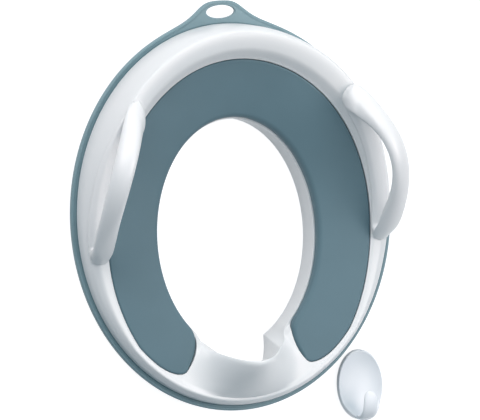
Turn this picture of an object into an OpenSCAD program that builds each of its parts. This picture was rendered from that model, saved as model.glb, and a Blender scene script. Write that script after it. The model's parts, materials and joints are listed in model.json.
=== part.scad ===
// Toddler toilet training seat with a padded ring, two grab handles, a splash guard,
// a non-slip base ring with a hanging loop, and a stick-on wall hook to hang it from.
// Frame: +Z is up, +Y points to the hanging loop, X is across, millimetres.
// The lowest edge of the inner skirt and the back of the wall hook lie at z = 0.

/* [Shell] */
// Half of the shell's width
rim_half_width = 146; // [140:1:150]
// Half of the shell's length
rim_half_length = 170; // [164:1:174]
// Half of the opening's width
hole_half_width = 74; // [68:1:78]
// Half of the opening's length
hole_half_length = 103; // [97:1:106]
// How far the opening sits towards the front
hole_offset = 17.5; // [14:0.5:20]
// Moulded wall thickness
wall = 2.6; // [2:0.1:3]
// Depth of the inner skirt below the seating face
skirt_depth = 18; // [12:1:24]
// Height of the opening's lip above the seating face
lip_height = 10; // [8:0.5:12]
// Height of the rim at the sides and front above the seating face
side_height = 20; // [18:0.5:23]
// Height of the raised back rim above the seating face
back_height = 55; // [45:1:62]

/* [Splash guard] */
// Height of the splash guard above the opening's lip
guard_height = 46; // [36:1:50]
// Half of the splash guard's width
guard_half_width = 37; // [34:1:43]
// How far the guard's top edge leans out over the front
guard_lean = 6.5; // [5:0.5:8]
// How far the recess under the guard reaches past the opening's edge
notch_reach = 14.5; // [12:0.5:16]

/* [Cushion] */
// Half of the cushion's width
pad_half_width = 124; // [121:0.5:126]
// Half of the oval that the cushion's outer edge follows
pad_half_length = 155.5; // [152:0.5:158]
// How far that oval sits towards the front
pad_offset = 16.5; // [13:0.5:18]
// Foam thickness
pad_thickness = 8; // [6:0.5:9]
// How far the cushion's back edge lies below the rim's crest
pad_back_drop = 17; // [14:1:20]
// Least width of bare rim outside the cushion
bare_rim = 10; // [9:0.5:12]
// Gap between the cushion and its recess
pad_gap = 0.3; // [0.3:0.05:0.6]
// Diameter of a cushion stud's shank
stud_diameter = 6; // [5:0.5:7]
// Diameter of a cushion stud's disc
stud_disc_diameter = 14; // [11:0.5:15]
// Thickness of a cushion stud's disc
stud_disc_thickness = 1.5; // [1:0.1:2]
// How far a stud reaches below the recess floor's upper face
stud_reach = 5.5; // [4.5:0.1:5.8]

/* [Base ring] */
// How far the base ring shows outside the shell
ring_overhang = 5; // [3:0.5:7]
// Thickness of the base ring at its edge
ring_edge_height = 6; // [5:0.5:7]
// Thickness of the base ring's plate
ring_plate = 3; // [2.5:0.1:3.4]
// Width of the thick edge band
ring_band = 14; // [10:0.5:16]
// How far the hanging tab reaches past the ring
tab_reach = 15.5; // [13:0.5:18]
// Half-width of the hanging tab at half its reach
tab_half_width = 24; // [22:0.5:28]
// Half-width of the hanging hole
loop_half_width = 13.7; // [11:0.1:15]
// Half-height of the hanging hole
loop_half_height = 5.8; // [5:0.1:6.2]

/* [Handles] */
// Broad width of the grip's oval section
grip_width = 18.5; // [17:0.5:21]
// Thickness of the grip's section
grip_thickness = 12.5; // [11:0.5:14]
// How far the grip's broad face tilts outwards, in degrees
grip_tilt = 30; // [20:1:36]
// Rise of the arch above the rim, to the grip's centre
grip_rise = 46; // [40:0.5:50]
// How far the arch's ends stand inwards of the grip's centre line
grip_shift = 2; // [1.5:0.1:2.5]
// How far the middle of the arch leans out from its ends
grip_lean = 2.5; // [1:0.5:4]
// Width of the handle's foot across the rim
foot_width = 18; // [16:0.5:18.5]
// Thickness of the handle's foot along the rim
foot_thickness = 3; // [2.5:0.1:4]
// Gap between the handle's foot and the rim
foot_gap = 0.35; // [0.1:0.05:0.5]
// Diameter of the posts under the handle's foot
post_diameter = 8; // [7:0.5:9]
// Play of a post in its bore, on the diameter
post_play = 0.4; // [0.2:0.1:0.6]
// Length of a post below the rim's surface
post_length = 8; // [6:0.5:9]

// Distance from the shell's side edge to the grip's centre line
grip_inset = 10.2; // [10:0.1:11]
// The same distance at the shell's back end
grip_end_inset = 7; // [6:0.5:9]
// How far the grip's centre line sits towards the front
grip_offset = 6; // [4:0.5:8]

/* [Fasteners] */
// Shank diameter of all screws
screw_diameter = 3.5; // [3:0.1:4]
// Head diameter of the base ring's countersunk screws
ring_screw_head = 7; // [6:0.1:8]
// Length of the base ring's screws
ring_screw_length = 8; // [7:0.5:8.5]
// Head diameter of the handles' flange-head screws
handle_screw_head = 10; // [10:0.5:13]
// Height of the handles' flange heads
handle_screw_head_height = 2.2; // [1.5:0.1:2.5]
// Thread length of the handles' screws
handle_screw_length = 7; // [5:0.5:8]
// Play round a screw's shank
screw_play = 0.3; // [0.2:0.05:0.4]
// Outer diameter of the bosses round the handles' posts
boss_diameter = 13; // [12:0.5:14]
// Outer diameter of the base ring's screw bosses
ring_boss_diameter = 9; // [8:0.5:10]

/* [Wall hook] */
// Half-width of the hook's oval plate
hook_half_width = 21.5; // [20:0.5:24]
// Half-length of the hook's oval plate
hook_half_length = 34; // [32:0.2:35]
// Thickness of the plate at its hollow centre
hook_plate = 2.6; // [2:0.1:3.5]
// Height of the plate's raised rim
hook_rim_height = 6; // [5:0.2:7]
// How far the tongue stands out from the plate's back
tongue_reach = 29.5; // [26:0.5:31]
// Width of the tongue at its root
tongue_width = 17; // [15:0.5:20]
// Thickness of the tongue
tongue_thickness = 3; // [2.5:0.1:3.5]
// Thickness of the foam tape
tape_thickness = 1.6; // [1:0.1:2]
// Thickness of the tape's release liner
liner_thickness = 0.4; // [0.3:0.1:0.5]
// Margin of bare plate round the tape
tape_margin = 4; // [3:0.5:6]

/* [Hidden] */
$fn = 48;

WHITE = [0.93, 0.94, 0.94];
SLATE = [0.38, 0.48, 0.52];
STEEL = [0.72, 0.73, 0.75];

seat_z = skirt_depth;                   // seating face, under the base ring
ring_top = seat_z + ring_edge_height;   // where the shell's edge stands on the ring
lip_z = seat_z + lip_height;
side_z = seat_z + side_height;
crest_side_z = side_z + 1.5;            // crest of the rim at the sides
crest_back_z = seat_z + back_height;
pad_back_z = crest_back_z - pad_back_drop;
plate_top = seat_z + ring_plate;
fit = 0.4;                              // running clearance of the ring round the skirt
loop_rim = 4;                           // material left above the hanging hole

front_angle = -22;                      // where the rim starts to rise, as an elevation angle
back_angle = 52;                        // where it reaches its full height
pad_full_angle = -48;                   // the cushion has its full width behind this
pad_round_angle = -51.5;                // its inner corner starts to round here
pad_tip_angle = -63;                    // and its rounded ends stop here
pad_tip_s = 0.5;
lip_s = 0.017;                          // width of the bare lip, as a share of the section
notch_corner_angle = 23.7;              // the guard's recess starts this far from the front
notch_back_angle = 16.1;                // and is fully deep here

ring_screw_angles = [62, 118, 2, 178, -52, -128];
ring_screw_s = 0.5;
stud_angles = [72, 108, 22, 158, -26, -154];
stud_s = 0.34;
handle_low_angle = -9.2;                // the arch starts and ends at these angles
handle_top_angle = 42.2;
foot_low = -11;                         // and its foot runs between these stations
foot_top = 44;
post_angles = [-7, 38];
hook_centre = [118.4, -161];

// Stations round the seat, as elevation angles from the front (-90) to the back (90)
half_stations = concat(
  [-90, -87, -84, -81, -78, -75.5, -73.9, -72, -70, -68, -66.3, -64.5, pad_tip_angle - 1],
  [for (step = [0.1, 0.4, 0.9, 1.8, 3, 4.4, 6, 7.8]) pad_tip_angle + step],
  [for (a = [-52 : 4 : 88]) a],
  [90]
);
stations = concat(half_stations, [for (i = [len(half_stations) - 2 : -1 : 1]) 180 - half_stations[i]]);

// ---------- shape functions ----------

function clamp01(x) = min(1, max(0, x));
function smooth(x) = let (c = clamp01(x)) c * c * (3 - 2 * c);
function mix(a, b, k) = a + (b - a) * k;
function quarter(x, p) = pow(1 - pow(clamp01(x), p), 1 / p);
function elev(t) = asin(sin(t));
function oval(t, a, b, c) = [a * cos(t), c + b * sin(t)];

// A section line runs from the opening's edge (s = 0) to the shell's edge (s = 1)
function hole_at(t) = oval(t, hole_half_width, hole_half_length, -hole_offset);
function rim_at(t) = oval(t, rim_half_width, rim_half_length, 0);
function plan(s, t) = hole_at(t) + s * (rim_at(t) - hole_at(t));
function span(t) = norm(rim_at(t) - hole_at(t));
function point(s, t, z) = let (p = plan(s, t)) [p.x, p.y, z];
function crossing(t, a, b, c) =
  let (h = hole_at(t) - [0, c], d = rim_at(t) - hole_at(t))
  let (hx = h.x / a, hy = h.y / b, dx = d.x / a, dy = d.y / b)
  let (qa = dx * dx + dy * dy, qb = hx * dx + hy * dy, qc = hx * hx + hy * hy - 1)
  (-qb + sqrt(qb * qb - qa * qc)) / qa;

function back_rise(t) = smooth((elev(t) - front_angle) / (back_angle - front_angle));
function crest_z(t) = mix(crest_side_z, crest_back_z, back_rise(t));
function pad_edge_z(t) = mix(side_z, pad_back_z, back_rise(t));
// The cushion keeps clear of the rim's edge and of the handles' feet
function foot_limit_s(t) =
  grip_s(t) - (foot_width / 2 + 1) / span(t) + 0.02 * max(0, foot_low - 4 - elev(t), elev(t) - foot_top - 6);
function pad_edge_s(t) = min(crossing(t, pad_half_width, pad_half_length, -pad_offset),
                             1 - bare_rim / span(t), foot_limit_s(t));
function crest_s(t) = mix(pad_edge_s(t), 1, 0.42 + 0.37 * back_rise(t));

// The shell's upper surface with the recess filled in, from the lip to the outer edge
function skin_line(t) =
  let (c = pad_edge_s(t), k = crest_s(t), ze = pad_edge_z(t), zc = crest_z(t), drop = zc - ring_top)
  [
    [0, lip_z], [0.02, lip_z], [0.12, lip_z + 0.72 * pad_thickness],
    [0.3, mix(lip_z + pad_thickness, ze, 0.3)],
    [c, ze], [mix(c, k, 0.4), mix(ze, zc, 0.72)], [k, zc],
    [mix(k, 1, 0.5), zc - 0.18 * drop], [mix(k, 1, 0.85), zc - 0.5 * drop], [1, ring_top]
  ];
function guard_line() =
  [[0.1, 1], [0.17, 1], [0.3, 0.93], [0.45, 0.8], [0.6, 0.64], [0.75, 0.46], [0.88, 0.25], [1, 0]];
function guard_share(s, t) =
  elev(t) > -40 ? 0 : pow(max(0, 1 - pow(plan(s, t).x / guard_half_width, 2)), 1.3);
function skin(s, t) =
  let (plain = lookup(s, skin_line(t)))
  let (ridge = ring_top + (lip_z + guard_height - ring_top) * lookup(s, guard_line()))
  plain + guard_share(s, t) * max(0, ridge - plain);

function floor_z(s, t) =
  let (low = lip_z - 0.4, high = pad_edge_z(t) - pad_thickness)
  mix(low, high, clamp01(s / pad_edge_s(t)));
function has_pad(t) = elev(t) >= pad_tip_angle;
function pad_in_s(t) =
  let (x = (pad_round_angle - elev(t)) / (pad_round_angle - pad_tip_angle))
  mix(pad_tip_s, lip_s, quarter(x, 2.2)) - (has_pad(t) ? 0.01 : 0.06);
function pad_out_s(t) =
  let (x = (pad_full_angle - elev(t)) / (pad_full_angle - pad_tip_angle))
  mix(pad_tip_s, pad_edge_s(t), quarter(x, 2.5)) + (has_pad(t) ? 0.01 : 0.06);

// Inner wall: it steps out under the guard and makes the recess there
function notch_share(t) =
  clamp01((notch_corner_angle - (elev(t) + 90)) / (notch_corner_angle - notch_back_angle));
function wall_s(t) = notch_share(t) * notch_reach / span(t);
function lip_lean(t) = guard_lean / span(t) * clamp01(3 * guard_share(0.05, t));
function lip_top(t) = mix(lip_z, lip_z + guard_height, guard_share(0.05, t));

// ---------- lofting ----------

function quads(rows, cols, wrap) =
  [for (i = [0 : rows - (wrap ? 1 : 2)], j = [0 : cols - 1])
    let (n = (i + 1) % rows, m = (j + 1) % cols)
    each [[i * cols + j, n * cols + j, n * cols + m], [i * cols + j, n * cols + m, i * cols + m]]];
function flat_list(rings) = [for (r = rings) each r];
function reversed(list) = [for (i = [len(list) - 1 : -1 : 0]) list[i]];

// Faces that close a ring, as strips from one half of it to the other
function cap(cols) =
  [for (j = [0 : floor((cols - 1) / 2) - 1])
    j + 1 == cols - 2 - j ? [j, j + 1, cols - 1 - j] : [j, j + 1, cols - 2 - j, cols - 1 - j]];

// A solid through rings of points, closed on itself or capped at both ends
module loft(rings, wrap) {
  rows = len(rings);
  cols = len(rings[0]);
  last = (rows - 1) * cols;
  caps = wrap ? [] : concat(cap(cols), [for (f = cap(cols)) [for (j = reversed(f)) last + j]]);
  polyhedron(points = flat_list(rings), faces = concat(quads(rows, cols, wrap), caps), convexity = 8);
}

// ---------- shell ----------

function shell_section(t) =
  let (d = span(t), w = wall / d, drop = wall * 1.15)
  let (a = pad_in_s(t), b = pad_out_s(t), m1 = mix(a, b, 0.35), m2 = mix(a, b, 0.7))
  let (c = max(b + 0.02, mix(pad_edge_s(t), crest_s(t), 0.4)), k = crest_s(t))
  let (o1 = mix(k, 1, 0.5), o2 = mix(k, 1, 0.85), sw = wall_s(t), sl = lip_lean(t))
  let (top = lip_top(t), share = notch_share(t), pad = has_pad(t))
  let (bed = function(s) pad ? floor_z(s, t) : skin(s, t), step = pad ? 0 : 0.02)
  [
    [sw, 0], [sw, top - 1.5 - 9 * share], [sl, top - 0.8], [sl + 0.4 / d, top],
    [a, skin(a, t)], [a + step, bed(a + step)], [m1, bed(m1)], [m2, bed(m2)],
    [b - step, bed(b - step)], [b, skin(b, t)],
    [c, skin(c, t)], [k, skin(k, t)], [o1, skin(o1, t)], [o2, skin(o2, t)], [1, ring_top],
    [1 - w, ring_top], [o2 - w, skin(o2, t) - wall * 0.5], [o1 - 0.6 * w, skin(o1, t) - drop],
    [k, skin(k, t) - drop], [b + w, min(skin(b + w, t), skin(c, t)) - drop],
    [b + w, bed(b) - drop], [m2, bed(m2) - drop], [m1, bed(m1) - drop],
    [sw + w, min(bed(max(a, sw + w)), skin(sw + w, t)) - drop], [sw + w, 0]
  ];
function shell_ring(t) = [for (p = shell_section(t)) point(p[0], t, p[1])];

module seat_shell() {
  color(WHITE) difference() {
    union() {
      loft([for (t = stations) shell_ring(t)], true);
      for (t = ring_screw_angles)
        boss(t, ring_screw_s, ring_boss_diameter, plate_top);
      for (t = handle_post_stations)
        boss(t, grip_s(t), boss_diameter, post_foot_z(t) - 0.4);
    }
    for (t = ring_screw_angles)
      at(t, ring_screw_s, seat_z)
        cylinder(d = screw_diameter, h = ring_screw_length + 0.5);
    for (t = handle_post_stations)
      at(t, grip_s(t), seat_z)
        cylinder(d = post_diameter + post_play, h = 2 * back_height);
    for (t = handle_post_stations)
      at(t, grip_s(t), seat_z + ring_plate)
        cylinder(d = handle_screw_head + 2 * screw_play, h = post_foot_z(t) - 0.4 - plate_top);
    for (t = stud_angles)
      at(t, stud_s, floor_z(stud_s, t) - stud_reach - wall)
        cylinder(d = stud_diameter + 2 * pad_gap, h = 3 * stud_reach);
  }
}

module at(t, s, z) {
  translate(point(s, t, z)) children();
}

// The lowest skin or recess floor within r of a place on the shell
function low_bed(s, t, r) =
  let (ds = r / span(t), dt = r / 2.7, bed = function(a, b) a < pad_edge_s(b) ? floor_z(a, b) : skin(a, b))
  min(bed(s - ds, t), bed(s + ds, t), bed(s, t - dt), bed(s, t + dt));

// A screw boss that hangs from the shell's inside down to a given height
module boss(t, s, d, foot_z) {
  at(t, s, foot_z) cylinder(d = d, h = low_bed(s, t, d / 2) - wall / 2 - foot_z);
}

// ---------- base ring ----------

function ring_edge(t) =
  let (p = oval(t, rim_half_width + ring_overhang, rim_half_length + ring_overhang, 0))
  let (tab = sin(t) > 0 ? tab_reach / (1 + pow(p.x / tab_half_width, 4)) : 0)
  [p.x, p.y + tab];
function ring_inner(t) = plan(wall_s(t) + (wall + fit) / span(t), t);
loop_y = rim_half_length + ring_overhang + tab_reach - loop_rim - loop_half_height;

module base_ring() {
  countersink = ring_screw_head + 2 * screw_play + 0.14;
  edge_angles = [for (t = [0 : 2 : 358]) t];
  color(SLATE) translate([0, 0, seat_z]) difference() {
    linear_extrude(ring_edge_height) polygon([for (t = edge_angles) ring_edge(t)]);
    translate([0, 0, ring_plate]) linear_extrude(ring_edge_height)
      polygon([for (t = edge_angles)
        oval(t, rim_half_width - ring_band, rim_half_length - ring_band, 0)]);
    translate([0, 0, -1]) linear_extrude(ring_edge_height + 2) {
      polygon([for (t = stations) ring_inner(t)]);
      polygon([for (t = [0 : 7.5 : 352.5]) oval(t, loop_half_width, loop_half_height, loop_y)]);
    }
    for (t = ring_screw_angles) at(t, ring_screw_s, 0) {
      translate([0, 0, -1]) cylinder(d = screw_diameter + screw_play, h = ring_plate + 2);
      translate([0, 0, -0.01])
        cylinder(d1 = countersink, d2 = screw_diameter + screw_play,
                 h = (countersink - screw_diameter - screw_play) / 2);
    }
  }
}

// ---------- fasteners ----------

module cross_recess(d, depth) {
  for (a = [0, 90]) rotate(a) cube([d, d / 4, 2 * depth], center = true);
}

module ring_screws() {
  cone = (ring_screw_head - screw_diameter) / 2;
  color(STEEL) for (t = ring_screw_angles) at(t, ring_screw_s, seat_z + screw_play) difference() {
    union() {
      cylinder(d1 = ring_screw_head, d2 = screw_diameter, h = cone);
      cylinder(d = screw_diameter, h = ring_screw_length - screw_play);
    }
    cross_recess(ring_screw_head * 0.6, 1);
  }
}

module handle_screws() {
  color(STEEL) for (t = handle_post_stations)
    at(t, grip_s(t), post_foot_z(t) - post_play - 0.05 - handle_screw_head_height) difference() {
      union() {
        cylinder(d = handle_screw_head, h = handle_screw_head_height);
        cylinder(d = screw_diameter, h = handle_screw_head_height + handle_screw_length);
      }
      cross_recess(handle_screw_head * 0.4, 1);
    }
}

// ---------- handles ----------

function grip_s(t) =
  crossing(t, rim_half_width - grip_inset, rim_half_length - grip_end_inset, -grip_offset);
function post_foot_z(t) = skin(grip_s(t), t) - post_length;
handle_post_stations = concat(post_angles, [for (t = post_angles) 180 - t]);

function arch_t(v) = mix(handle_low_angle, handle_top_angle, v);
function arch_z(v) =
  let (t = arch_t(v)) skin(grip_s(t), t) + grip_rise * pow(max(0, sin(180 * clamp01(v))), mix(0.8, 1.1, v));

function arch_s(v, t) = grip_s(t) + (grip_lean * sin(180 * clamp01(v)) - grip_shift) / span(t);

// One ring of the grip: an oval square to the arch, never lower than the middle of the foot
function grip_ring(v) =
  let (t = arch_t(v), e = 0.01, dt = e * (handle_top_angle - handle_low_angle))
  let (low = point(grip_s(t - dt), t - dt, arch_z(v - e)), high = point(grip_s(t + dt), t + dt, arch_z(v + e)))
  let (run = norm([high.x - low.x, high.y - low.y]), rise = high.z - low.z, per_degree = run / (2 * dt))
  let (climb = max(-50, min(50, atan2(rise, run))), end = quarter(abs(2 * v - 1) * 0.97, 14))
  let (tilt = grip_tilt * clamp01(4 * sin(180 * clamp01(v))))
  [for (f = [0 : 22.5 : 337.5])
    let (a = sign(cos(f)) * pow(abs(cos(f)), 0.85) * grip_width / 2 * end)
    let (b = sign(sin(f)) * pow(abs(sin(f)), 0.85) * grip_thickness / 2 * end)
    let (x = a * cos(tilt) + b * sin(tilt), y = b * cos(tilt) - a * sin(tilt))
    let (pt = t - y * sin(climb) / per_degree, ps = arch_s(v, pt) + x / span(pt))
    point(ps, pt, max(arch_z(v) + y * cos(climb), skin(ps, pt) + foot_gap + foot_thickness * 0.45))];

// A place across the rim, moved onto the shell's nearest bend when one is within reach
function on_bend(s, t, reach) =
  let (near = [for (p = skin_line(t)) if (abs(p[0] - s) <= reach) p[0]]) len(near) > 0 ? near[0] : s;

// One ring of the foot: it follows the rim from the seam over the crest and down the flank
function foot_ring(t) =
  let (d = span(t), mid = (foot_low + foot_top) / 2, reach = (foot_top - foot_low) / 2 + 0.3)
  let (half = foot_width / 2 * quarter(abs(t - mid) / reach, 9) / d, first = grip_s(t) - half)
  let (step = (min(0.985, grip_s(t) + half) - first) / 12)
  let (under = [for (i = [0 : 12])
    let (s = first + i * step) i == 0 || i == 12 ? s : on_bend(s, t, 0.45 * step)])
  let (out = function(s) s > crest_s(t) ? 1.5 * foot_gap / d : 0)
  concat(
    [for (s = under) point(s + out(s), t, skin(s, t) + foot_gap)],
    [for (i = [12 : -1 : 0])
      let (s = under[i], f = i / 6 - 1, share = 0.35 + 0.65 * quarter(abs(f), 3))
      point(s + out(s) + max(0, f) * 1.2 / d, t, skin(s, t) + foot_gap + foot_thickness * share)]
  );

module right_handle() {
  foot_stations = [for (t = half_stations) if (t >= foot_low && t <= foot_top) t];
  color(WHITE) difference() {
    union() {
      loft([for (i = [0 : 32]) reversed(grip_ring(i / 32))], false);
      loft([for (t = foot_stations) reversed(foot_ring(t))], false);
      for (t = post_angles) at(t, grip_s(t), post_foot_z(t))
        cylinder(d = post_diameter, h = post_length + foot_gap + foot_thickness / 2);
    }
    for (t = post_angles) at(t, grip_s(t), post_foot_z(t) - 0.4)
      cylinder(d = screw_diameter, h = handle_screw_length + 0.5);
  }
}

module left_handle() {
  mirror([1, 0, 0]) right_handle();
}

// ---------- cushion ----------

function pad_ring(t) =
  let (d = span(t), a = pad_in_s(t) + pad_gap / d, b = pad_out_s(t) - pad_gap / d, w = b - a)
  let (under = function(s) floor_z(s, t) + pad_gap, top = function(s) floor_z(s, t) + pad_thickness)
  let (i1 = min(1.2 / d, 0.1 * w), i2 = min(4.5 / d, 0.3 * w), o1 = min(1 / d, 0.1 * w))
  [for (q = [
    [a, under(a)], [mix(a, b, 0.3), under(mix(a, b, 0.3))], [mix(a, b, 0.7), under(mix(a, b, 0.7))],
    [b, under(b)], [b, top(b) - 1.2], [b - o1, top(b - o1) - 0.2], [mix(a, b, 0.7), top(mix(a, b, 0.7))],
    [mix(a, b, 0.4), top(mix(a, b, 0.4))], [a + i2, top(a + i2) - 0.6],
    [a + i1, top(a + i1) - 0.4 * pad_thickness], [a, under(a) + 0.15 * pad_thickness]
  ]) point(q[0], t, q[1])];

function stud_seat_z(t) = floor_z(stud_s + stud_disc_diameter / 2 / span(t), t) + pad_gap;

module cushion_pad() {
  pad_stations = [for (t = stations) if (elev(t) > pad_tip_angle + 0.3 && t < 270) t];
  color(SLATE) difference() {
    loft([for (t = pad_stations) reversed(pad_ring(t))], false);
    for (t = stud_angles) at(t, stud_s, stud_seat_z(t) - 2 * stud_reach)
      cylinder(d = stud_disc_diameter + 2 * fit, h = 2 * stud_reach + stud_disc_thickness);
  }
}

module cushion_studs() {
  color(WHITE) for (t = stud_angles) at(t, stud_s, stud_seat_z(t)) {
    cylinder(d = stud_disc_diameter, h = stud_disc_thickness);
    foot = floor_z(stud_s, t) - stud_reach;
    translate([0, 0, foot - stud_seat_z(t)])
      cylinder(d = stud_diameter, h = stud_seat_z(t) - foot + stud_disc_thickness / 2);
  }
}

// ---------- wall hook ----------

hook_back_z = liner_thickness + tape_thickness;

// The plate's outline shrunk to a share r of its size
function hook_oval(r, z) =
  [for (t = [0 : 10 : 350])
    [hook_centre.x + r * hook_half_width * cos(t), hook_centre.y + r * hook_half_length * sin(t), z]];
function dish(r) = hook_plate + (hook_rim_height - hook_plate) * pow(r / 0.88, 2.4);

// Centre line of the tongue, as distance from the plate's middle and height above its back
function tongue_mid(v) =
  let (root = [-0.78 * hook_half_length, 1], knee = [-1.12 * hook_half_length, 0.62 * tongue_reach])
  let (tip = [-0.22 * hook_half_length, tongue_reach - tongue_thickness / 2])
  let (bend = [-0.8 * hook_half_length, 1.02 * tongue_reach])
  pow(1 - v, 3) * root + 3 * pow(1 - v, 2) * v * knee + 3 * (1 - v) * v * v * bend + v * v * v * tip;
function tongue_ring(v) =
  let (c = tongue_mid(v), d = tongue_mid(v + 0.01) - tongue_mid(v - 0.01), n = [-d.y, d.x] / norm(d))
  let (half = mix(tongue_width, 0.66 * tongue_width, v) / 2 * quarter(max(0, v - 0.8) / 0.22, 2.4))
  [for (f = [0 : 30 : 330])
    let (x = half * sign(cos(f)) * pow(abs(cos(f)), 0.6))
    let (q = c + n * tongue_thickness / 2 * sign(sin(f)) * pow(abs(sin(f)), 0.8))
    [hook_centre.x + x, hook_centre.y + q.x, hook_back_z + q.y]];

module wall_hook() {
  color(WHITE) {
    loft([
      hook_oval(0.96, hook_back_z), hook_oval(1, hook_back_z + 1.2),
      hook_oval(1, hook_back_z + hook_rim_height - 1.6), hook_oval(0.97, hook_back_z + hook_rim_height - 0.4),
      hook_oval(0.93, hook_back_z + hook_rim_height), for (r = [0.88, 0.75, 0.55, 0.3])
        hook_oval(r, hook_back_z + dish(r))
    ], false);
    loft([for (i = [0 : 12]) reversed(tongue_ring(i / 12))], false);
  }
}

module tape_layer(z, h) {
  r = 1 - tape_margin / hook_half_width;
  translate([0, 0, z]) linear_extrude(h)
    polygon([for (p = hook_oval(r, 0)) [p.x, p.y]]);
}

module hook_tape() {
  color([0.9, 0.9, 0.87]) tape_layer(liner_thickness, tape_thickness);
}

module hook_liner() {
  color([0.95, 0.93, 0.8]) tape_layer(0, liner_thickness);
}

seat_shell();
base_ring();
ring_screws();
left_handle();
right_handle();
handle_screws();
cushion_pad();
cushion_studs();
wall_hook();
hook_tape();
hook_liner();
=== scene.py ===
"""Dressed model of a toddler toilet training seat with its cushion, handles, base ring and wall hook.

Shapes are worked out in millimetres and put into meshes in metres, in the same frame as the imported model:
+Z is up, +Y points to the hanging loop and X runs across the seat.
"""

from __future__ import annotations

import json
import logging
from dataclasses import dataclass, field
from enum import Enum
from typing import Any, Callable, Sequence

import bmesh
import bpy
import numpy as np
from mathutils import Matrix, Vector

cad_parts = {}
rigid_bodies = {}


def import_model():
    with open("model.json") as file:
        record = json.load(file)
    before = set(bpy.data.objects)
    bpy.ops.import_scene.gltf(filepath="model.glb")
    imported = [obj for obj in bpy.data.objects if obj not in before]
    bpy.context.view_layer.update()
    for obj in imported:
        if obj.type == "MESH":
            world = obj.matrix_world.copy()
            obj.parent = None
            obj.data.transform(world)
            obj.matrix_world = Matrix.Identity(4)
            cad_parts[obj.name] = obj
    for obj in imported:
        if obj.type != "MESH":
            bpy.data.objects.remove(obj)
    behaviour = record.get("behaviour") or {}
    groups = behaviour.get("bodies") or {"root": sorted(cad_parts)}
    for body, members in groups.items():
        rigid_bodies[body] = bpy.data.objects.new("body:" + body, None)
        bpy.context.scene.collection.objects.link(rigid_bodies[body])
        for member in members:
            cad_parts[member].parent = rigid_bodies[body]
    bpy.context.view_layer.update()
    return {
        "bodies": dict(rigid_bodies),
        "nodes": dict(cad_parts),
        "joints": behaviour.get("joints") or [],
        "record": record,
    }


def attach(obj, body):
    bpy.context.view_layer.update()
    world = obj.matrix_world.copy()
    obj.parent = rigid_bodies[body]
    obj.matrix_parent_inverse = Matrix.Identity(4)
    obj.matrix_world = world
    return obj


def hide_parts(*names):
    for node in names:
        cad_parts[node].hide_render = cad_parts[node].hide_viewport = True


log = logging.getLogger("training_seat")

Array = np.ndarray
Path = tuple[Array, Array]
Point = Array | tuple[float, float]
RingMaker = Callable[[Array, float], Array]
Tree = bpy.types.NodeTree
Socket = bpy.types.NodeSocket
MM = 0.001
MERGE_GAP = 0.004  # vertices closer than this many millimetres are merged
SHEET_SHARE = 1.15  # height through a sloping wall, as a share of its thickness
HOLLOW_LAG = 0.9  # degrees by which the step in the wall's hidden face lies behind that in its visible one
SCREW_RADIUS = 1.75


class Body(Enum):
    """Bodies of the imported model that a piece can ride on."""

    SEAT = "seat"
    CUSHION = "cushion"
    HOOK = "hook"


class Side(Enum):
    """Which side of the seat a handle stands on, as the sign of X."""

    LEFT = -1
    RIGHT = 1


# -------------------- curves


def mix(low: Array | float, high: Array | float, share: Array | float) -> Array:
    """Value a given share of the way from low to high."""
    return np.asarray(low + (np.asarray(high) - low) * share)


def smooth(x: Array | float) -> Array:
    """Smoothstep: 3x^2 - 2x^3 with x held between 0 and 1."""
    x = np.clip(x, 0.0, 1.0)
    return x * x * (3 - 2 * x)


def quarter(x: Array | float, power: float) -> Array:
    """Quarter of a superellipse: (1 - x^p)^(1/p), from 1 at x = 0 down to 0 at x = 1."""
    return (1 - np.clip(x, 0.0, 1.0) ** power) ** (1 / power)


def signed_power(x: Array, power: Array | float) -> Array:
    """Sign of x times |x| to a power, the rounding of a superellipse."""
    return np.sign(x) * np.abs(x) ** power


def monotone_curve(knots: Array, heights: Array, at: Array) -> Array:
    """Smooth curve through knots that never overshoots them, worked out for every column at once.

    The slope at an inner knot is the weighted harmonic mean of the slopes beside it, or 0 where they differ
    in sign, and a cubic Hermite piece joins each pair of knots.

    Args:
        knots: Positions of the knots, (k, n), rising down each column.
        heights: Values at the knots, (k, n).
        at: Positions to work out, (m, n).

    Returns:
        The curve's values, (m, n).
    """
    step = np.maximum(np.diff(knots, axis=0), 1e-9)
    rise = np.diff(heights, axis=0) / step
    before, after = rise[:-1], rise[1:]
    w1, w2 = 2 * step[1:] + step[:-1], step[1:] + 2 * step[:-1]
    same = before * after > 0
    safe_before, safe_after = np.where(same, before, 1.0), np.where(same, after, 1.0)
    slope = np.zeros_like(heights)
    slope[1:-1] = np.where(same, (w1 + w2) / (w1 / safe_before + w2 / safe_after), 0.0)
    slope[0], slope[-1] = rise[0], rise[-1]
    index = (at[None] >= knots[1:-1][:, None]).sum(axis=0)
    length, start = (np.take_along_axis(values, index, axis=0) for values in (step, knots))
    y0, m0 = (np.take_along_axis(values, index, axis=0) for values in (heights, slope))
    y1, m1 = (np.take_along_axis(values, index + 1, axis=0) for values in (heights, slope))
    u = np.clip((at - start) / length, 0.0, 1.0)
    return (
        (1 + 2 * u) * (1 - u) ** 2 * y0
        + u * (1 - u) ** 2 * length * m0
        + u * u * (3 - 2 * u) * y1
        + u * u * (u - 1) * length * m1
    )


def resample(points: Array, count: int, ease: float = 0.0) -> Array:
    """Points spread evenly by length along a polyline, or bunched at its ends.

    Args:
        points: The polyline, (n, d).
        count: How many points to return.
        ease: 0 for even spacing, 1 for spacing by the cosine rule.

    Returns:
        The new polyline, (count, d).
    """
    run = np.concatenate([[0], np.cumsum(np.linalg.norm(np.diff(points, axis=0), axis=1))])
    u = np.linspace(0, 1, count)
    u = mix(u, (1 - np.cos(np.pi * u)) / 2, ease) * run[-1]
    return np.stack([np.interp(u, run, points[:, d]) for d in range(points.shape[1])], axis=1)


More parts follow.
